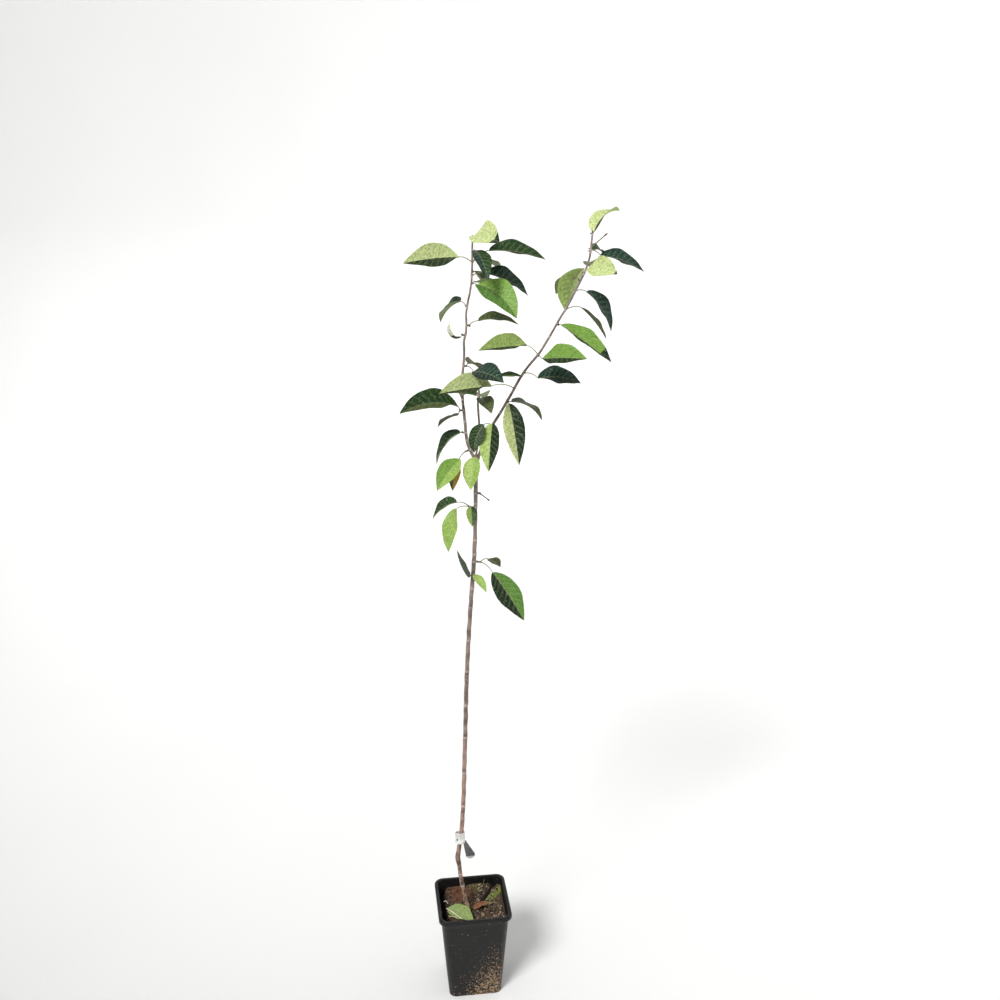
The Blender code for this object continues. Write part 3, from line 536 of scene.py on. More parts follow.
def floor_material():
    """Pale matt studio sweep, faintly uneven so that it reads as a real surface."""
    mat, tree, shader, place = new_material("pale studio sweep", 0.9)
    tone, _ = blotches(tree, place, "#f2f2f1", "#f7f7f6", HAZE_SIZE, (0, 1), 1.0, 1.0)
    tree.links.new(tone, shader.inputs["Base Color"])
    return mat


def part(points, quads, tint="#ffffff", **marks):
    """Points, quads, a colour for each quad, and named values for each point."""
    points = np.asarray(points, float).reshape(-1, 3)
    colour = to_linear(tint) if isinstance(tint, str) else tint
    tints = np.broadcast_to(np.asarray(colour, float), (len(quads), 4))
    values = {key: np.broadcast_to(value, len(points)) for key, value in marks.items()}
    return points, np.asarray(quads), tints, values


def turn_outwards(mesh):
    """Make the faces of a mesh point outwards."""
    shape = bmesh.new()
    shape.from_mesh(mesh)
    bmesh.ops.recalc_face_normals(shape, faces=shape.faces)
    shape.to_mesh(mesh)
    shape.free()


def make_piece(name, nodes, material, parts, sharp=50):
    """One mesh from several parts: their points one after another, the quads shifted to match,
    with the quad colours and point values kept as attributes. Edges over the sharp angle stay
    sharp. A piece without nodes belongs to the stage."""
    shifts = np.cumsum([0] + [len(p[0]) for p in parts])
    points = np.concatenate([p[0] for p in parts])
    quads = np.concatenate([p[1] + shift for p, shift in zip(parts, shifts)])
    tints = np.repeat(np.concatenate([p[2] for p in parts]), 4, axis=0)
    mesh = bpy.data.meshes.new(name)
    mesh.from_pydata(points.tolist(), [], quads.tolist())
    mesh.attributes.new("tint", "FLOAT_COLOR", "CORNER").data.foreach_set("color", tints.ravel())
    for key in parts[0][3]:
        values = np.concatenate([p[3][key] for p in parts])
        mesh.attributes.new(key, "FLOAT", "POINT").data.foreach_set("value", values)
    turn_outwards(mesh)
    mesh.shade_smooth()
    mesh.set_sharp_from_angle(angle=math.radians(sharp))
    mesh.materials.append(material)
    piece = bpy.data.objects.new(name, mesh)
    bpy.context.scene.collection.objects.link(piece)
    if nodes:
        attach(piece, "root")
        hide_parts(*nodes)
    return piece


def grid_quads(rows, columns):
    """Quads between the points of an open grid."""
    i = np.arange(rows - 1)[:, None] * columns
    j = np.arange(columns - 1)[None, :]
    return np.stack([i + j, i + j + 1, i + columns + j + 1, i + columns + j], -1).reshape(-1, 4)


def tube_quads(rows, sides, capped=True):
    """Quads over a stack of closed rings with an even number of sides, its ends closed by rows
    of quads across."""
    i = np.arange(rows - 1)[:, None] * sides
    j = np.arange(sides)[None, :]
    k = (j + 1) % sides
    wall = np.stack([i + j, i + k, i + sides + k, i + sides + j], -1).reshape(-1, 4)
    if not capped:
        return wall
    c = np.arange(sides // 2 - 1)
    cap = np.stack([c, c + 1, sides - 2 - c, sides - 1 - c], -1)
    return np.concatenate([wall, cap[:, ::-1], cap + (rows - 1) * sides])


def hoop_quads(rows, columns):
    """Quads over a grid that closes both along its rows and across them."""
    i = np.arange(rows)[:, None]
    j = np.arange(columns)[None, :]
    a = (i + 1) % rows
    b = (j + 1) % columns
    corners = [i * columns + j, i * columns + b, a * columns + b, a * columns + j]
    return np.stack(corners, -1).reshape(-1, 4)


def direction(heading, rise):
    """The unit vector at a compass heading and a slope above level, both in degrees."""
    h, r = math.radians(heading), math.radians(rise)
    return np.array([math.cos(h) * math.cos(r), math.sin(h) * math.cos(r), math.sin(r)])


def smooth_path(stations):
    """A smooth curve through stations: cubic spans whose slopes at each station are the mean of
    its neighbours', sampled at an even step. Returns points and radii."""
    rows = np.array(stations, dtype=float) * MM
    steps = np.linalg.norm(np.diff(rows[:, :3], axis=0), axis=1)
    along = np.concatenate([[0], np.cumsum(steps)])
    slopes = np.gradient(rows, along, axis=0)
    samples = []
    for i in range(len(rows) - 1):
        span = along[i + 1] - along[i]
        steps = max(1, round(span / LIMB_STEP))
        t = (np.arange(steps) / steps)[:, None]
        bend = (t**3 - 2 * t**2 + t) * slopes[i] + (t**3 - t**2) * slopes[i + 1]
        samples.append((2 * t**3 - 3 * t**2 + 1) * rows[i] + (3 * t**2 - 2 * t**3) * rows[i + 1]
                       + bend * span)
    samples.append(rows[-1:])
    path = np.concatenate(samples)
    return path[:, :3], path[:, 3]


PATHS = {name: smooth_path(stations) for name, stations in LIMBS.items()}


def limb_at(limb, height):
    """Point, radius and direction of a limb at a height."""
    points, radii = PATHS[limb]
    slopes = np.gradient(points, axis=0)
    point = np.array([np.interp(height, points[:, 2], points[:, k]) for k in range(3)])
    run = np.array([np.interp(height, points[:, 2], slopes[:, k]) for k in range(3)])
    return point, float(np.interp(height, points[:, 2], radii)), run / np.linalg.norm(run)


def tube(points, radii, sides):
    """Rings of a tube: at each path point, the point plus the radius times (side cos a plus other
    sin a), with side and other square to the path. Radii may differ round each ring."""
    points = np.asarray(points, float)
    tangents = np.gradient(points, axis=0)
    tangents /= np.linalg.norm(tangents, axis=1)[:, None]
    hint = np.eye(3)[int(np.argmin(np.abs(tangents).mean(0)))]
    side = hint - tangents * (tangents @ hint)[:, None]
    side /= np.linalg.norm(side, axis=1)[:, None]
    other = np.cross(tangents, side)
    angle = 2 * math.pi * np.arange(sides) / sides
    spread = np.asarray(radii, float).reshape(len(points), -1)
    ring = side[:, None] * np.cos(angle)[:, None] + other[:, None] * np.sin(angle)[:, None]
    return points[:, None] + ring * spread[..., None]


def tube_part(points, radii, sides, tint, mark=0.0):
    """A capped tube as a part of one tone."""
    return part(tube(points, radii, sides), tube_quads(len(points), sides), tint, mark=mark)


def half_width(t):
    """Half width of a blade at a share of its length: egg-shaped with a drawn-out tip."""
    return np.clip(np.sin(math.pi * t ** 0.82), 0, 1) ** 0.8 * (1 - 0.35 * t ** 6)


def midrib(foot, spec, t):
    """Midrib points at shares t of the blade, with the across and face directions there: a
    circular arc that bends down by the droop, rolled about itself more and more from its foot."""
    level = direction(spec["heading"], 0)
    left = np.cross(UP, level)
    start = math.radians(spec["rise"] + spec["droop"] / 2)
    bend = math.radians(spec["droop"])
    angle = (start - bend * t)[:, None]
    centre = foot + spec["blade"] / bend * (level * (math.sin(start) - np.sin(angle))
                                            + UP * (np.cos(angle) - math.cos(start)))
    normal = UP * np.cos(angle) - level * np.sin(angle)
    turn = math.radians(spec["roll"]) * np.minimum(1, 0.3 + 2 * t)[:, None]
    across = left * np.cos(turn) + normal * np.sin(turn)
    face = normal * np.cos(turn) - left * np.sin(turn)
    return centre, across, face


def blade_tints(spec, rows, columns):
    """Tones of a blade's quads in their order, with light and shade painted in: the right and left
    half of the upper side, the underside, and another tone past the end's share of the length."""
    left, right, under = (to_linear(TONES[name]) for name in spec["look"])
    half = columns // 2
    row = np.array([right] * half + [left] * half + [under] * (columns + 2))
    wall = np.tile(row, (rows, 1, 1))
    if spec["end"]:
        wall[int(rows * spec["end"][0]):] = to_linear(TONES[spec["end"][1]])
    return np.concatenate([wall.reshape(-1, 4), np.tile(under, (2 * columns, 1))])


def blade_part(foot, spec, settings, chooser):
    """A blade as a thin closed sheet. Across it runs s from -1 to 1: a point lies s times the half
    width to the side and rises with the fold, sinks along the midrib and along side veins that
    sweep forward to the edge, and waves a little near the edge, which is cut in small teeth."""
    rows, columns = settings.rows, settings.columns // 2 * 2
    size, fold = spec["blade"], math.radians(spec["fold"])
    t = np.linspace(0, 1, rows + 1)
    s = np.linspace(-1, 1, columns + 1)[None, :]
    centre, across, face = midrib(foot, spec, t)
    t = t[:, None]
    wide = STALK_RADIUS * (1 - t) + TIP_WIDTH + spec["width"] / 2 * size * half_width(t)
    teeth = (t * TEETH) % 1 - 0.5
    lateral = s * wide * (1 + settings.serration * teeth * np.abs(s) ** 8)
    soft = FOLD_SOFTNESS * wide
    lift = (np.sqrt(lateral ** 2 + soft ** 2) - soft) * math.sin(fold)
    lift += chooser.uniform(-EDGE_CURL, EDGE_CURL) * wide * np.abs(s) ** 3
    wave = settings.waviness * spec["wave"] * size * chooser.uniform(0.4, 1)
    swing = np.sin(2 * math.pi * (EDGE_WAVES * t + chooser.random() + 0.25 * np.sign(s)))
    lift += wave * swing * s ** 2 * np.sin(math.pi * t)
    near = np.abs((VEIN_PAIRS * t - VEIN_SWEEP * np.abs(s)) % 1 - 0.5) * 2
    fade = (1 - np.abs(s) ** 4) * np.clip(t * 8, 0, 1) * np.clip((1 - t) * 6, 0, 1)
    rib = np.exp(-(lateral / RIB_WIDTH) ** 2) * (1 - 0.5 * t)
    lift -= settings.quilting * size * near ** 2.5 * fade + RIB_DEPTH * rib
    level_out = lateral * math.cos(fold)
    upper = (centre[:, None] + across[:, None] * level_out[..., None]
             + face[:, None] * lift[..., None])
    thick = BLADE_THICKNESS * (1 - 0.6 * s ** 2) * np.ones_like(t)
    lower = upper - face[:, None] * thick[..., None]
    loop = np.concatenate([upper, lower[:, ::-1]], axis=1)
    vein = np.clip(near ** 7 * fade + rib, 0, 1)
    mark = np.concatenate([vein, 0.6 * vein[:, ::-1]], axis=1).ravel()
    quads = tube_quads(rows + 1, 2 * (columns + 1))
    return part(loop, quads, blade_tints(spec, rows, columns), mark=mark)


def stalk_part(seat, spec):
    """A leaf stalk that sags to the blade's foot and runs on under the midrib as a thin rib."""
    run = direction(spec["heading"], spec["stalk_rise"])
    t = np.linspace(0, 1, 11)[:-1, None]
    line = seat + run * spec["stalk"] * t + UP * STALK_SAG * spec["stalk"] * 4 * t * (1 - t)
    u = np.linspace(0.01, 0.9, 22)
    rib = STALK_RADIUS * (0.8 - 0.7 * u)
    radii = np.concatenate([STALK_RADIUS * (1.25 - 0.4 * t[:, 0]), rib])
    centre, _, face = midrib(seat + run * spec["stalk"], spec, u)
    path = np.concatenate([line, centre - face * (RIB_DEPTH + 0.7 * rib)[:, None]])
    # Painted light: the stalk of a leaf whose right half is painted sunlit takes a paler tone
    light = spec["look"][1] in ("pale", "bright", "lime", "white")
    return tube_part(path, radii, 8, WOOD_TONES["sunlit_stalk" if light else "stalk"])


def bud_part(seat, run, length, radius, tone):
    """A pointed bud: a tube whose radius swells and closes along its run."""
    shape = np.array(BUD_SHAPE)
    return tube_part(seat + run * shape[:, :1] * length, shape[:, 1] * radius, 10, tone)


def twig_parts(seat, heading, rise, length):
    """A bare straight twig with a bud at its tip."""
    run = direction(heading, rise)
    u = np.linspace(0, 0.85, 14)
    radii = TWIG_RADIUS * (1.15 - 0.35 * u + 0.06 * np.cos(9 * math.pi * u))
    stem = tube_part(seat + run * length * u[:, None], radii, 10, WOOD_TONES["twig"])
    bud = bud_part(seat + run * length * 0.8, run, length * 0.2 + 1.5 * MM, BUD_RADIUS,
                   WOOD_TONES["twig_bud"])
    return [stem, bud]


def spur_parts(limb, height, heading, length, chooser):
    """A ringed woody spur square to its limb, its foot sunk in the bark, with small buds round
    its tip. Returns the parts and the seat of its leaves."""
    point, radius, tangent = limb_at(limb, height)
    out = direction(heading, 0)
    out -= tangent * (out @ tangent)
    out /= np.linalg.norm(out)
    tip = point + out * (radius + GAP + length)
    foot = point + out * (radius - SPUR_SINK)
    u = np.linspace(0, 1, 16)
    radii = SPUR_BASE_RADIUS + (SPUR_TIP_RADIUS - SPUR_BASE_RADIUS) * u
    radii += SPUR_RING * np.cos(2 * math.pi * 3 * u)
    radii[-2:] = (1.2 * MM, 0.5 * MM)
    parts = [tube_part(foot + (tip - foot) * u[:, None], radii, 12, WOOD_TONES["spur"])]
    for _ in range(SPUR_BUDS):
        run = out + 0.9 * np.array([chooser.uniform(-1, 1) for _ in range(3)])
        run /= np.linalg.norm(run)
        parts.append(bud_part(tip - out * 1.6 * MM, run, chooser.uniform(3.2, 4.8) * MM,
                              SPUR_BUD_RADIUS, WOOD_TONES["bud"]))
    return parts, tip - out * ROOT_SINK


def back_leaves(chooser):
    """Leaves of each mass on the far side, each drawn from a seeded chooser round its heading."""
    return {name: [leaf(heading + chooser.uniform(-BACK_TURN, BACK_TURN), chooser.uniform(10, 20),
                        chooser.uniform(5, 30), chooser.uniform(62, 84), chooser.uniform(-35, -8),
                        chooser.uniform(25, 50), chooser.uniform(-20, 20), at=at)
                   for at, heading in rows] for name, rows in BACK_LEAVES.items()}


def make_foliage(group, settings):
    """The leaves and the twigs of one group of masses, grown by the frame's own rule."""
    chooser = random.Random(SEED + len(group))
    far = back_leaves(random.Random(SEED))
    masses = GROUPS[group]
    blades, twigs = [], []
    for name in masses:
        if name in SPUR_MASSES:
            limb, height, heading, length, leaves = SPUR_MASSES[name]
            parts, seat = spur_parts(limb, height * MM, heading, length * MM, chooser)
            twigs += parts
            seats = [seat] * len(leaves)
        else:
            limb, leaves = CROWN_MASSES[name]
            leaves = leaves + far[name]
            seats = [limb_at(limb, spec["at"])[0] for spec in leaves]
            tip = PATHS[limb][0][-1]
            twigs.append(bud_part(tip - UP * MM, UP, 6 * MM, BUD_RADIUS, WOOD_TONES["bud"]))
            for place in seats:
                run = direction(chooser.uniform(0, 360), 35)
                twigs.append(bud_part(place + run * MM, run, 4.5 * MM, SPUR_BUD_RADIUS,
                                      WOOD_TONES["bud"]))
        for spec, seat in zip(leaves, seats):
            foot = seat + direction(spec["heading"], spec["stalk_rise"]) * spec["stalk"]
            blades.append(blade_part(foot, spec, settings, chooser))
            twigs.append(stalk_part(seat, spec))
        for mass, heading, rise, length, at in BARE_TWIGS:
            if mass == name:
                start = seat if at is None else limb_at(limb, at * MM)[0]
                twigs += twig_parts(start, heading, rise, length * MM)
    make_piece(group + "_blades", masses, blade_material(settings), blades, 60)
    twig_finish = tinted_material("green and woody twig", 0.6, 3 * MM, 0.2 * MM)
    make_piece(group + "_twigs", masses, twig_finish, twigs)


def limb_part(stations, collars, settings, chooser):
    """A limb's bark: rings that ripple by a few slow waves round and along the limb and swell
    to a low collar at each named height; the mark is 1 at a collar and fades off it."""
    points, radii = smooth_path(stations)
    sides = settings.sides
    angle = 2 * math.pi * np.arange(sides)[None, :] / sides
    along = np.arange(len(points))[:, None] * LIMB_STEP
    spread = radii[:, None] * np.ones_like(angle)
    for turns, size in RIPPLES:
        waves = 2 * math.pi * along / (chooser.uniform(22, 60) * MM)
        spread = spread * (1 + size * np.sin(turns * angle + waves + chooser.uniform(0, 6)))
    height = points[:, 2:3]
    mark = np.zeros_like(height)
    for collar in collars:
        near = np.abs(height - collar * MM)
        spread = spread + settings.collar * np.exp(-(near / RING_WIDTH) ** 2)
        mark = np.maximum(mark, np.exp(-(near / RING_LINE) ** 2))
    return part(tube(points, spread, sides), tube_quads(len(points), sides),
                mark=np.repeat(mark, sides, axis=1).ravel())


def make_bark(settings):
    """The stem with its roots, the leader, the right bough and the middle shoot in one skin."""
    chooser = random.Random(SEED)
    collars = {limb: list(rings) for limb, rings in LIMB_RINGS.items()}
    for limb, height, *_ in SPUR_MASSES.values():
        collars[limb].append(height)
    for limb, leaves in CROWN_MASSES.values():
        collars[limb] += [spec["at"] / MM for spec in leaves]
    skins = {"trunk": TRUNK_FOOT + TRUNK + TRUNK_DOME, "leader": LEADER_FOOT + LEADER,
             "right_bough": BOUGH_FOOT + RIGHT_BOUGH, "middle_shoot": SHOOT_FOOT + MIDDLE_SHOOT}
    parts = [limb_part(rows, collars[limb], settings, chooser) for limb, rows in skins.items()]
    parts += [limb_part(root, [], settings, chooser) for root in ROOTS]
    make_piece("bark_skin", list(LIMBS), bark_material(), parts)


def square_ring(side, corner, z):
    """A level square ring of points with round corners."""
    inner = side / 2 - corner
    ring = []
    for quarter, (sx, sy) in enumerate(((1, 1), (-1, 1), (-1, -1), (1, -1))):
        for step in range(POT_CORNER_STEPS + 1):
            a = math.radians(90 * (quarter + step / POT_CORNER_STEPS))
            ring.append((sx * inner + corner * math.cos(a), sy * inner + corner * math.sin(a), z))
    return ring


def pot_side(z):
    """Outer side and corner radius of the pot's tapered body at a height."""
    share = z / (POT_HEIGHT - POT_LIP_HEIGHT)
    side = POT_BASE_SIDE + (POT_BODY_TOP_SIDE - POT_BASE_SIDE) * share
    return side, POT_BASE_CORNER + (POT_RIM_CORNER - POT_BASE_CORNER) * share


def wall_ring(z, inset):
    """The pot's body at a height, moved in by an inset."""
    side, corner = pot_side(z)
    return square_ring(side - 2 * inset, corner - inset, z)


def cutter(rings):
    """A closed solid through rings of points, used only to cut."""
    rings = np.array(rings)
    mesh = bpy.data.meshes.new("cutter")
    mesh.from_pydata(rings.reshape(-1, 3).tolist(), [], tube_quads(*rings.shape[:2]).tolist())
    turn_outwards(mesh)
    piece = bpy.data.objects.new("cutter", mesh)
    bpy.context.scene.collection.objects.link(piece)
    return piece


def subtract(host, cutters):
    """Cut the cutters from the host by one exact Boolean and remove them."""
    collection = bpy.data.collections.new("cutters")
    for piece in cutters:
        collection.objects.link(piece)
    cut = host.modifiers.new("cut", "BOOLEAN")
    cut.operation = "DIFFERENCE"
    cut.operand_type = "COLLECTION"
    cut.collection = collection
    cut.solver = "EXACT"
    graph = bpy.context.evaluated_depsgraph_get()
    mesh = bpy.data.meshes.new_from_object(host.evaluated_get(graph))
    host.modifiers.clear()
    host.data = mesh
    for piece in cutters:
        bpy.data.objects.remove(piece, do_unlink=True)
    bpy.data.collections.remove(collection)


def drain_cutters():
    """A slot through the foot at the middle of each side, and a hole near each corner."""
    cutters = []
    for turn in range(4):
        radial = direction(90 * turn, 0)
        along = direction(90 * turn + 90, 0)
        middle = radial * POT_BASE_SIDE / 2
        corners = [middle + radial * u * DRAIN_SLOT_REACH + along * v * DRAIN_SLOT_WIDTH / 2
                   for u, v in ((-1, -1), (1, -1), (1, 1), (-1, 1))]
        cutters.append(cutter([[c + UP * z for c in corners]
                               for z in (-DRAIN_SLOT_REACH, DRAIN_SLOT_REACH)]))
        hole = direction(90 * turn + 45, 0) * DRAIN_HOLE_OFFSET * math.sqrt(2)
        rim = [hole + DRAIN_HOLE_RADIUS * direction(360 * k / DRAIN_HOLE_SIDES, 0)
               for k in range(DRAIN_HOLE_SIDES)]
        cutters.append(cutter([[r + UP * z for r in rim] for z in (-POT_FLOOR, 2 * POT_FLOOR)]))
    return cutters


def make_pot():
    """The pot: one loft of rounded square rings up the outside, over the rolled lip and down the
    inside to the floor, with slots and holes cut from its foot."""
    lip_foot = POT_HEIGHT - POT_LIP_HEIGHT
    inner = POT_BODY_TOP_SIDE - 2 * POT_WALL
    corner = POT_RIM_CORNER - POT_WALL - 2 * MM
    rings = []
    for step in range(5):
        a = math.radians(90 * step / 4)
        height, inset = POT_FOOT_ROUND * (1 - math.cos(a)), POT_FOOT_ROUND * (1 - math.sin(a))
        rings.append(wall_ring(height, inset))
    rings += [wall_ring(z, 0) for z in np.linspace(8 * MM, lip_foot - 0.6 * MM, 14)]
    rings.append(wall_ring(lip_foot, -0.4 * MM))
    rings += [square_ring(POT_RIM_SIDE - 2 * inset * MM, POT_RIM_CORNER, lip_foot + rise * MM)
              for inset, rise in POT_LIP]
    rings += [square_ring(inner + wider * MM, corner + round_by * MM, POT_HEIGHT - depth * MM)
              for wider, round_by, depth in POT_MOUTH]
    rings += [wall_ring(z, POT_WALL) for z in np.linspace(lip_foot, POT_FLOOR + 3 * MM, 10)]
    rings.append(wall_ring(POT_FLOOR, POT_WALL + 1.5 * MM))
    rings = np.array(rings)
    pot = make_piece("pot_shell", ["pot"], pot_material(),
                     [part(rings, tube_quads(*rings.shape[:2]))], 35)
    subtract(pot, drain_cutters())
    pot.data.set_sharp_from_angle(angle=math.radians(35))


def smooth_step(low, high, value):
    """0 below low, 1 above high, and a smooth rise between them."""
    share = np.clip((value - low) / (high - low), 0, 1)
    return share * share * (3 - 2 * share)


def line_distance(x, y, ends):
    """Distance of points from the straight line between two ends, which may be one point."""
    (ax, ay), (bx, by) = ends
    square = max((bx - ax) ** 2 + (by - ay) ** 2, MM * MM)
    share = np.clip(((x - ax) * (bx - ax) + (y - ay) * (by - ay)) / square, 0, 1)
    return np.hypot(x - ax - (bx - ax) * share, y - ay - (by - ay) * share)


def lumps(x, y, cell, seed):
    """Smooth noise from -1 to 1: random heights on a square lattice of that cell, blended
    between its points by a smooth step."""
    grid = np.random.default_rng(seed).uniform(-1, 1, (64, 64))
    u, v = (x + POT_RIM_SIDE) / cell, (y + POT_RIM_SIDE) / cell
    i, j = np.floor(u).astype(int), np.floor(v).astype(int)
    f, g = smooth_step(0, 1, u - i), smooth_step(0, 1, v - j)
    near, right, far, both = (grid[(i + a) % 64, (j + b) % 64]
                              for b in (0, 1) for a in (0, 1))
    return (near * (1 - f) + right * f) * (1 - g) + (far * (1 - f) + both * f) * g


def compost_top(x, y):
    """Height of the compost: the frame's slopes and trench, with the heap, ridge, groove, pit
    and lumps laid over them."""
    half = POT_BODY_TOP_SIDE / 2
    level = COMPOST_LEVEL + COMPOST_RISE_BACK * y / half
    level = level + COMPOST_RISE_RIGHT * np.maximum(x, 0) / half
    level = level - COMPOST_TRENCH * smooth_step(COMPOST_TRENCH_START, COMPOST_TRENCH_END, -x)
    for ends, height, reach in COMPOST_FORMS:
        level = level + height * np.exp(-(line_distance(x, y, ends) / reach) ** 2)
    for size, height, seed in COMPOST_LUMPS:
        level = level + height * lumps(x, y, size, seed)
    return level


def compost_masks(x, y):
    """How red and mossy the compost is at each point, and how deep the painted shade in its
    hollows, from 0 to 1.
    """
    mottle = 0.5 + 0.5 * lumps(x, y, 4 * MM, 5)
    away = np.hypot(x - RED_PATCH[0], (y - RED_PATCH[1]) / RED_STRETCH)
    red = np.exp(-(away / RED_REACH) ** 2) * (0.5 + 0.5 * mottle)
    ridge = np.exp(-(line_distance(x, y, MOSS_RIDGE) / (10 * MM)) ** 4)
    heap = np.exp(-(line_distance(x, y, BACK_HEAP) / (18 * MM)) ** 4)
    # Painted shade: the groove, the small pit and the trench along the left wall
    groove = np.exp(-(line_distance(x, y, SHADED_GROOVE) / (5.5 * MM)) ** 2)
    hole = np.exp(-(line_distance(x, y, SMALL_PIT) / (4.5 * MM)) ** 2)
    trench = smooth_step(50 * MM, 60 * MM, -x)
    moss = np.maximum(ridge * smooth_step(0.15, 0.7, mottle), 0.55 * mottle * heap)
    return {"red": red, "moss": moss, "pit": np.maximum(np.maximum(groove, hole), trench)}


def make_compost():
    """The compost: a square grid of heights pulled in to the pot's round corners, closed by
    walls down to the pot's floor."""
    count = COMPOST_GRID
    side, corner = pot_side(COMPOST_LEVEL - COMPOST_TRENCH / 2)
    inset = POT_WALL + COMPOST_CLEARANCE
    half, corner = side / 2 - inset, corner - inset
    line = np.linspace(-half, half, count)
    y, x = (a.ravel() for a in np.meshgrid(line, line, indexing="ij"))
    inner = half - corner
    dx, dy = np.maximum(np.abs(x) - inner, 0), np.maximum(np.abs(y) - inner, 0)
    pull = np.maximum(dx, dy) / np.maximum(np.hypot(dx, dy), 1e-9)
    x = np.sign(x) * (np.minimum(np.abs(x), inner) + dx * pull)
    y = np.sign(y) * (np.minimum(np.abs(y), inner) + dy * pull)
    top = np.stack([x, y, compost_top(x, y)], -1)
    index = np.arange(count * count).reshape(count, count)
    edge = np.concatenate([index[0, :-1], index[:-1, -1], index[-1, :0:-1], index[:0:-1, 0]])
    foot_share = (pot_side(POT_FLOOR)[0] / 2 - inset) / half
    walls = [np.stack([x[edge] * k, y[edge] * k, np.full(len(edge), POT_FLOOR + GAP)], -1)
             for k in (foot_share, foot_share * 0.02)]
    points = np.concatenate([top] + walls)
    rows = [edge, np.arange(len(edge)) + count ** 2, np.arange(len(edge)) + count ** 2 + len(edge)]
    quads = [grid_quads(count, count)]
    for a, b in ((0, 1), (1, 2)):
        quads.append(np.stack([rows[a], np.roll(rows[a], -1), np.roll(rows[b], -1), rows[b]], -1))
    masks = compost_masks(points[:, 0], points[:, 1])
    make_piece("compost_fill", ["compost"], compost_material(),
               [part(points, np.concatenate(quads), **masks)], 80)


def crumb_kind(x, masks, chooser):
    """Which tones a crumb takes, by where it lies."""
    if masks["moss"] > 0.35:
        return "moss"
    if masks["red"] > 0.4 and chooser.random() < 0.6:
        return "red"
    if x > 5 * MM and chooser.random() < 0.35:
        return "pale"
    return "earth"


def make_crumbs(settings):
    """Loose crumbs on the compost: small squashed balls whose rings are pushed in and out, in
    earth, moss and pale tones by where they lie."""
    chooser = random.Random(SEED)
    limit = POT_BODY_TOP_SIDE / 2 - CRUMB_EDGE
    latitude = np.radians([-78, -35, 5, 40, 78])[:, None]
    longitude = np.radians(60 * np.arange(6))[None, :]
    ball = np.stack([np.cos(latitude) * np.cos(longitude), np.cos(latitude) * np.sin(longitude),
                     np.sin(latitude) * np.ones_like(longitude)], -1)
    quads = tube_quads(5, 6)
    parts = []
    while len(parts) < settings.crumbs:
        x, y = chooser.uniform(-limit, limit), chooser.uniform(-limit, limit)
        if math.hypot(x - TRUNK[0][0] * MM, y - TRUNK[0][1] * MM) < CRUMB_STEM_CLEARANCE:
            continue
        masks = compost_masks(np.array(x), np.array(y))
        if masks["pit"] > 0.6:
            continue
        kind = crumb_kind(x, masks, chooser)
        radius = chooser.uniform(0.6, 1.0) * MM + 1.6 * MM * chooser.random() ** 3
        sizes = radius * np.array([chooser.uniform(0.8, 1.4), chooser.uniform(0.7, 1.1),
                                   chooser.uniform(0.5, 0.9)])
        rough = np.array([[chooser.uniform(0.75, 1.2) for _ in range(6)] for _ in range(5)])
        turn = chooser.uniform(0, math.pi)
        bx, by, bz = np.moveaxis(ball * sizes * rough[..., None], -1, 0)
        spun = np.stack([bx * math.cos(turn) - by * math.sin(turn),
                         bx * math.sin(turn) + by * math.cos(turn), bz], -1)
        z = float(compost_top(np.array(x), np.array(y))) + 0.3 * radius
        parts.append(part(spun + np.array([x, y, z]), quads, chooser.choice(CRUMB_TONES[kind])))
    make_piece("compost_crumbs", ["compost"],
               tinted_material("loose crumbs", 0.95, 1.5 * MM, 0.4 * MM), parts, 40)


def make_litter(settings):
    """What lies on the compost: a fallen green leaf, a curled brown one, straws and a stalk."""
    chooser = random.Random(SEED)
    blades = [blade_part(np.array(foot) * MM, spec, settings, chooser)
              for foot, spec in FALLEN_LEAVES]
    make_piece("litter_leaves", ["compost"], blade_material(settings), blades, 60)
    parts = []
    for first, middle, last, radius, tone in STRAWS:
        points, radii = smooth_path([(*point, radius) for point in (first, middle, last)])
        parts.append(tube_part(points, radii, 8, tone))
    make_piece("litter_straws", ["compost"],
               tinted_material("dry straw", 0.8, 4 * MM, 0.1 * MM), parts)


def tail_half_width(u):
    """Half width of the tail at a distance along it: widening, then rounded off in a circle."""
    radius = TAIL_END_WIDTH / 2
    start = TAIL_LENGTH - radius
    straight = TAIL_TOP_WIDTH / 2 + (radius - TAIL_TOP_WIDTH / 2) * u / start
    circle = np.sqrt(np.clip(radius ** 2 - (u - start) ** 2, (0.3 * MM) ** 2, None))
    return np.where(u < start, straight, circle)


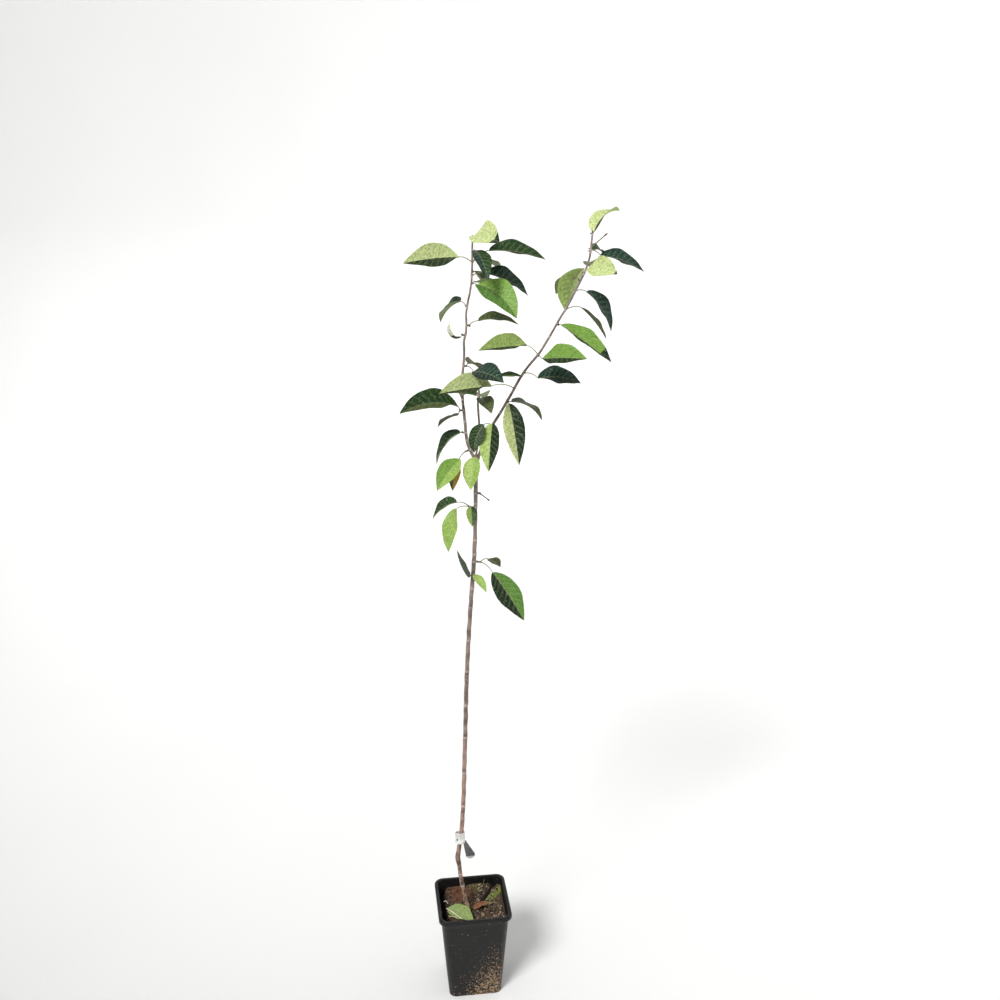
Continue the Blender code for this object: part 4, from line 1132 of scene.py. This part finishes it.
def make_label():
    """A blank paper loop, an oval ring with thin walls and a small dark patch of painted shade
    for a slit, and its flat tail that bows a little, painted grey as shade but for its pale end."""
    cx, cy = LABEL_CENTRE
    rise = np.linspace(0, 1, LABEL_STEPS)
    inset = np.repeat([0, LABEL_THICKNESS], LABEL_STEPS)[None, :]
    rises = np.concatenate([rise, rise[::-1]])[None, :]
    z = LABEL_FOOT + LABEL_HEIGHT * rises * np.ones((LABEL_SIDES, 1))
    a = 2 * math.pi * np.arange(LABEL_SIDES)[:, None] / LABEL_SIDES
    band = np.stack([cx + (LABEL_HALF_LENGTH - inset) * np.cos(a),
                     cy + (LABEL_HALF_DEPTH - inset) * np.sin(a), z], -1)
    quads = hoop_quads(LABEL_SIDES, 2 * LABEL_STEPS)
    x, y, z = band.reshape(-1, 3)[quads].mean(1).T
    (left, right), (low, high) = LABEL_SLIT
    slit = (x > left) & (x < right) & (y < 0) & (z > low) & (z < high)
    # Painted shade: the slit is a dark grey patch on the white band
    tints = np.where(slit[:, None], to_linear("#55555a"), to_linear("#f4f4f2"))
    run, side = direction(0, -TAIL_TURN), direction(0, 90 - TAIL_TURN)
    u = np.linspace(0, TAIL_LENGTH, TAIL_STEPS)[:, None]
    v = np.linspace(-1, 1, TAIL_COLUMNS)[None, :]
    start = np.array([TAIL_TOP[0], cy, TAIL_TOP[1]])
    flat = start + run * u[..., None] + side * (v * tail_half_width(u))[..., None]
    sheet = flat.copy()
    sheet[..., 1] -= TAIL_BOW * np.sin(math.pi * u / TAIL_LENGTH)
    loop = np.concatenate([sheet + np.array([0, -LABEL_THICKNESS, 0]), sheet[:, ::-1]], axis=1)
    tail_quads = tube_quads(TAIL_STEPS, 2 * TAIL_COLUMNS)
    # Painted shade: the white paper tail is grey, lighter at its end
    pale = loop.reshape(-1, 3)[tail_quads].mean(1)[:, 2] < TAIL_TOP[1] - TAIL_SHADE_LENGTH
    tail_tints = np.where(pale[:, None], to_linear("#b9b9b6"), to_linear("#5d5e60"))
    make_piece("stem_label", ["label"],
               tinted_material("plain label paper", 0.6, 8 * MM, 0.05 * MM),
               [part(band, quads, tints), part(loop, tail_quads, tail_tints)], 40)


def make_floor():
    """The sweep: a profile turned about Z, flat, then bent up by a quarter circle to a wall."""
    lift = np.radians(90 * np.arange(25) / 24)
    rim = FLOOR_REACH + FLOOR_BEND
    reach = np.concatenate([[0.02, 1.0, 2.0], FLOOR_REACH + FLOOR_BEND * np.sin(lift), [rim] * 2])
    height = np.concatenate([[0, 0, 0], FLOOR_BEND * (1 - np.cos(lift)), WALL_HEIGHTS])
    turn = 2 * math.pi * np.arange(FLOOR_SIDES)[None, :] / FLOOR_SIDES
    points = np.stack([reach[:, None] * np.cos(turn), reach[:, None] * np.sin(turn),
                       height[:, None] * np.ones_like(turn)], -1)
    quads = tube_quads(len(reach), FLOOR_SIDES, capped=False)
    disc = [[j, j + 1, FLOOR_SIDES - 2 - j, FLOOR_SIDES - 1 - j]
            for j in range(FLOOR_SIDES // 2 - 1)]
    make_piece("floor_sweep", None, floor_material(),
               [part(points, np.concatenate([quads, disc]))])


def make_stage(settings):
    """A pale round sweep, an even sky, one broad key light from the upper left, and the camera."""
    make_floor()
    scene = bpy.context.scene
    scene.view_settings.view_transform = "Standard"
    world = bpy.data.worlds.new("even sky")
    world.use_nodes = True
    sky = world.node_tree.nodes["Background"]
    sky.inputs["Color"].default_value = (1, 1, 1, 1)
    sky.inputs["Strength"].default_value = settings.sky
    scene.world = world
    sun = bpy.data.lights.new("key", "SUN")
    sun.energy = settings.key
    sun.angle = settings.softness
    key = bpy.data.objects.new("key", sun)
    key.rotation_euler = (math.radians(KEY_TILT), 0, math.radians(KEY_TURN))
    scene.collection.objects.link(key)
    lens = bpy.data.cameras.new("camera")
    lens.lens = settings.lens
    lens.sensor_width = 36
    lens.clip_end = 50
    camera = bpy.data.objects.new("camera", lens)
    camera.location = settings.camera_place
    camera.rotation_euler = (math.radians(90) - settings.camera_dip, 0, -settings.camera_pan)
    scene.collection.objects.link(camera)
    scene.camera = camera


class CherryLeafSettings(bpy.types.PropertyGroup):
    """Fineness and relief of the leaf blades"""
    rows: bpy.props.IntProperty(
        name="Rows", description="Steps along a blade", default=84, min=12)
    columns: bpy.props.IntProperty(
        name="Columns", description="Steps across a blade", default=22, min=4)
    quilting: bpy.props.FloatProperty(
        name="Quilting", description="Depth of the side veins as a share of a blade's length",
        default=0.009, min=0, precision=4, subtype="FACTOR")
    serration: bpy.props.FloatProperty(
        name="Teeth", description="Depth of the edge's teeth as a share of the half width",
        default=0.06, min=0, subtype="FACTOR")
    waviness: bpy.props.FloatProperty(
        name="Waviness", description="Height of the edge's waves as a share of a blade's length",
        default=0.014, min=0, precision=4, subtype="FACTOR")
    vein_contrast: bpy.props.FloatProperty(
        name="Vein contrast", description="How far the veins are paled", default=0.18, min=0,
        max=1, subtype="FACTOR")


class CherryBarkSettings(bpy.types.PropertyGroup):
    """Fineness and relief of the bark"""
    sides: bpy.props.IntProperty(
        name="Sides", description="Steps round a limb", default=28, min=8)
    collar: bpy.props.FloatProperty(
        name="Collar", description="Height of the ring at each node", default=0.45 * MM, min=0,
        precision=5, subtype="DISTANCE", unit="LENGTH")


class CherryPotSettings(bpy.types.PropertyGroup):
    """What lies in the pot"""
    crumbs: bpy.props.IntProperty(
        name="Crumbs", description="Number of loose crumbs", default=1500, min=1)


class CherryStageSettings(bpy.types.PropertyGroup):
    """Light and camera of the stage"""
    sky: bpy.props.FloatProperty(
        name="Sky", description="Strength of the even light", default=0.42, min=0)
    key: bpy.props.FloatProperty(
        name="Key", description="Strength of the key light", default=2.5, min=0)
    softness: bpy.props.FloatProperty(
        name="Softness", description="Width of the key light's source",
        default=math.radians(18), subtype="ANGLE", unit="ROTATION")
    lens: bpy.props.FloatProperty(
        name="Lens", description="Focal length", default=40, unit="CAMERA")
    camera_place: bpy.props.FloatVectorProperty(
        name="Camera place", description="Where the camera stands",
        default=(-0.2033, -1.963, 1.6889), subtype="TRANSLATION", unit="LENGTH")
    camera_dip: bpy.props.FloatProperty(
        name="Camera dip", description="How far the camera looks down",
        default=math.radians(17.3456), subtype="ANGLE", unit="ROTATION")
    camera_pan: bpy.props.FloatProperty(
        name="Camera pan", description="How far the camera turns to the right",
        default=math.radians(7.5842), subtype="ANGLE", unit="ROTATION")


class CHERRY_OT_pot(bpy.types.Operator):
    """Loft the square nursery pot and cut its drains"""
    bl_idname = "cherry.pot"
    bl_label = "Pot"

    def execute(self, context):
        make_pot()
        return {"FINISHED"}


class CHERRY_OT_compost(bpy.types.Operator):
    """Fill the pot with compost and loose crumbs"""
    bl_idname = "cherry.compost"
    bl_label = "Compost"

    def execute(self, context):
        make_compost()
        make_crumbs(context.scene.cherry_pot)
        return {"FINISHED"}


class CHERRY_OT_litter(bpy.types.Operator):
    """Lay the fallen leaves and straws on the compost"""
    bl_idname = "cherry.litter"
    bl_label = "Litter"

    def execute(self, context):
        make_litter(context.scene.cherry_leaves)
        return {"FINISHED"}


class CHERRY_OT_bark(bpy.types.Operator):
    """Skin the stem, boughs and shoot with ringed bark"""
    bl_idname = "cherry.bark"
    bl_label = "Bark"

    def execute(self, context):
        make_bark(context.scene.cherry_bark)
        return {"FINISHED"}


class Foliage:
    """Shared by the foliage operators: each grows the leaves and twigs of one group."""
    group = ""

    def execute(self, context):
        make_foliage(self.group, context.scene.cherry_leaves)
        return {"FINISHED"}


class CHERRY_OT_stem_foliage(Foliage, bpy.types.Operator):
    """Grow the leaves and spurs of the stem"""
    bl_idname = "cherry.stem_foliage"
    bl_label = "Stem foliage"
    group = "stem"


class CHERRY_OT_leader_foliage(Foliage, bpy.types.Operator):
    """Grow the leaves and spurs of the leader"""
    bl_idname = "cherry.leader_foliage"
    bl_label = "Leader foliage"
    group = "leader"


class CHERRY_OT_bough_foliage(Foliage, bpy.types.Operator):
    """Grow the leaves and spurs of the right bough"""
    bl_idname = "cherry.bough_foliage"
    bl_label = "Bough foliage"
    group = "bough"


class CHERRY_OT_crown_left_foliage(Foliage, bpy.types.Operator):
    """Grow the leaves at the leader's end"""
    bl_idname = "cherry.crown_left_foliage"
    bl_label = "Left crown"
    group = "crown_left"


class CHERRY_OT_crown_right_foliage(Foliage, bpy.types.Operator):
    """Grow the leaves at the ends of the right bough and the middle shoot"""
    bl_idname = "cherry.crown_right_foliage"
    bl_label = "Right crown"
    group = "crown_right"


class CHERRY_OT_label(bpy.types.Operator):
    """Hang the blank label on the stem"""
    bl_idname = "cherry.label"
    bl_label = "Label"

    def execute(self, context):
        make_label()
        return {"FINISHED"}


class CHERRY_OT_stage(bpy.types.Operator):
    """Set the pale sweep, the light and the camera"""
    bl_idname = "cherry.stage"
    bl_label = "Stage"

    def execute(self, context):
        make_stage(context.scene.cherry_stage)
        return {"FINISHED"}


OPERATORS = (CHERRY_OT_pot, CHERRY_OT_compost, CHERRY_OT_litter, CHERRY_OT_bark,
             CHERRY_OT_stem_foliage, CHERRY_OT_leader_foliage, CHERRY_OT_bough_foliage,
             CHERRY_OT_crown_left_foliage, CHERRY_OT_crown_right_foliage, CHERRY_OT_label,
             CHERRY_OT_stage)


class CHERRY_PT_panel(bpy.types.Panel):
    """Buttons that build the potted cherry tree piece by piece"""
    bl_idname = "CHERRY_PT_panel"
    bl_label = "Potted cherry tree"
    bl_space_type = "VIEW_3D"
    bl_region_type = "UI"
    bl_category = "Tree"

    def draw(self, context):
        for operator in OPERATORS:
            self.layout.operator(operator.bl_idname)


SETTINGS = {"cherry_leaves": CherryLeafSettings, "cherry_bark": CherryBarkSettings,
            "cherry_pot": CherryPotSettings, "cherry_stage": CherryStageSettings}


def register():
    for cls in (*SETTINGS.values(), *OPERATORS, CHERRY_PT_panel):
        bpy.utils.register_class(cls)
    for name, cls in SETTINGS.items():
        setattr(bpy.types.Scene, name, bpy.props.PointerProperty(type=cls))


def unregister():
    for name in SETTINGS:
        delattr(bpy.types.Scene, name)
    for cls in (CHERRY_PT_panel, *OPERATORS, *SETTINGS.values()):
        bpy.utils.unregister_class(cls)


def main():
    """Build every piece in order."""
    register()
    bpy.ops.cherry.pot()
    bpy.ops.cherry.compost()
    bpy.ops.cherry.litter()
    bpy.ops.cherry.bark()
    bpy.ops.cherry.stem_foliage()
    bpy.ops.cherry.leader_foliage()
    bpy.ops.cherry.bough_foliage()
    bpy.ops.cherry.crown_left_foliage()
    bpy.ops.cherry.crown_right_foliage()
    bpy.ops.cherry.label()
    bpy.ops.cherry.stage()


if __name__ == "__main__":
    main()
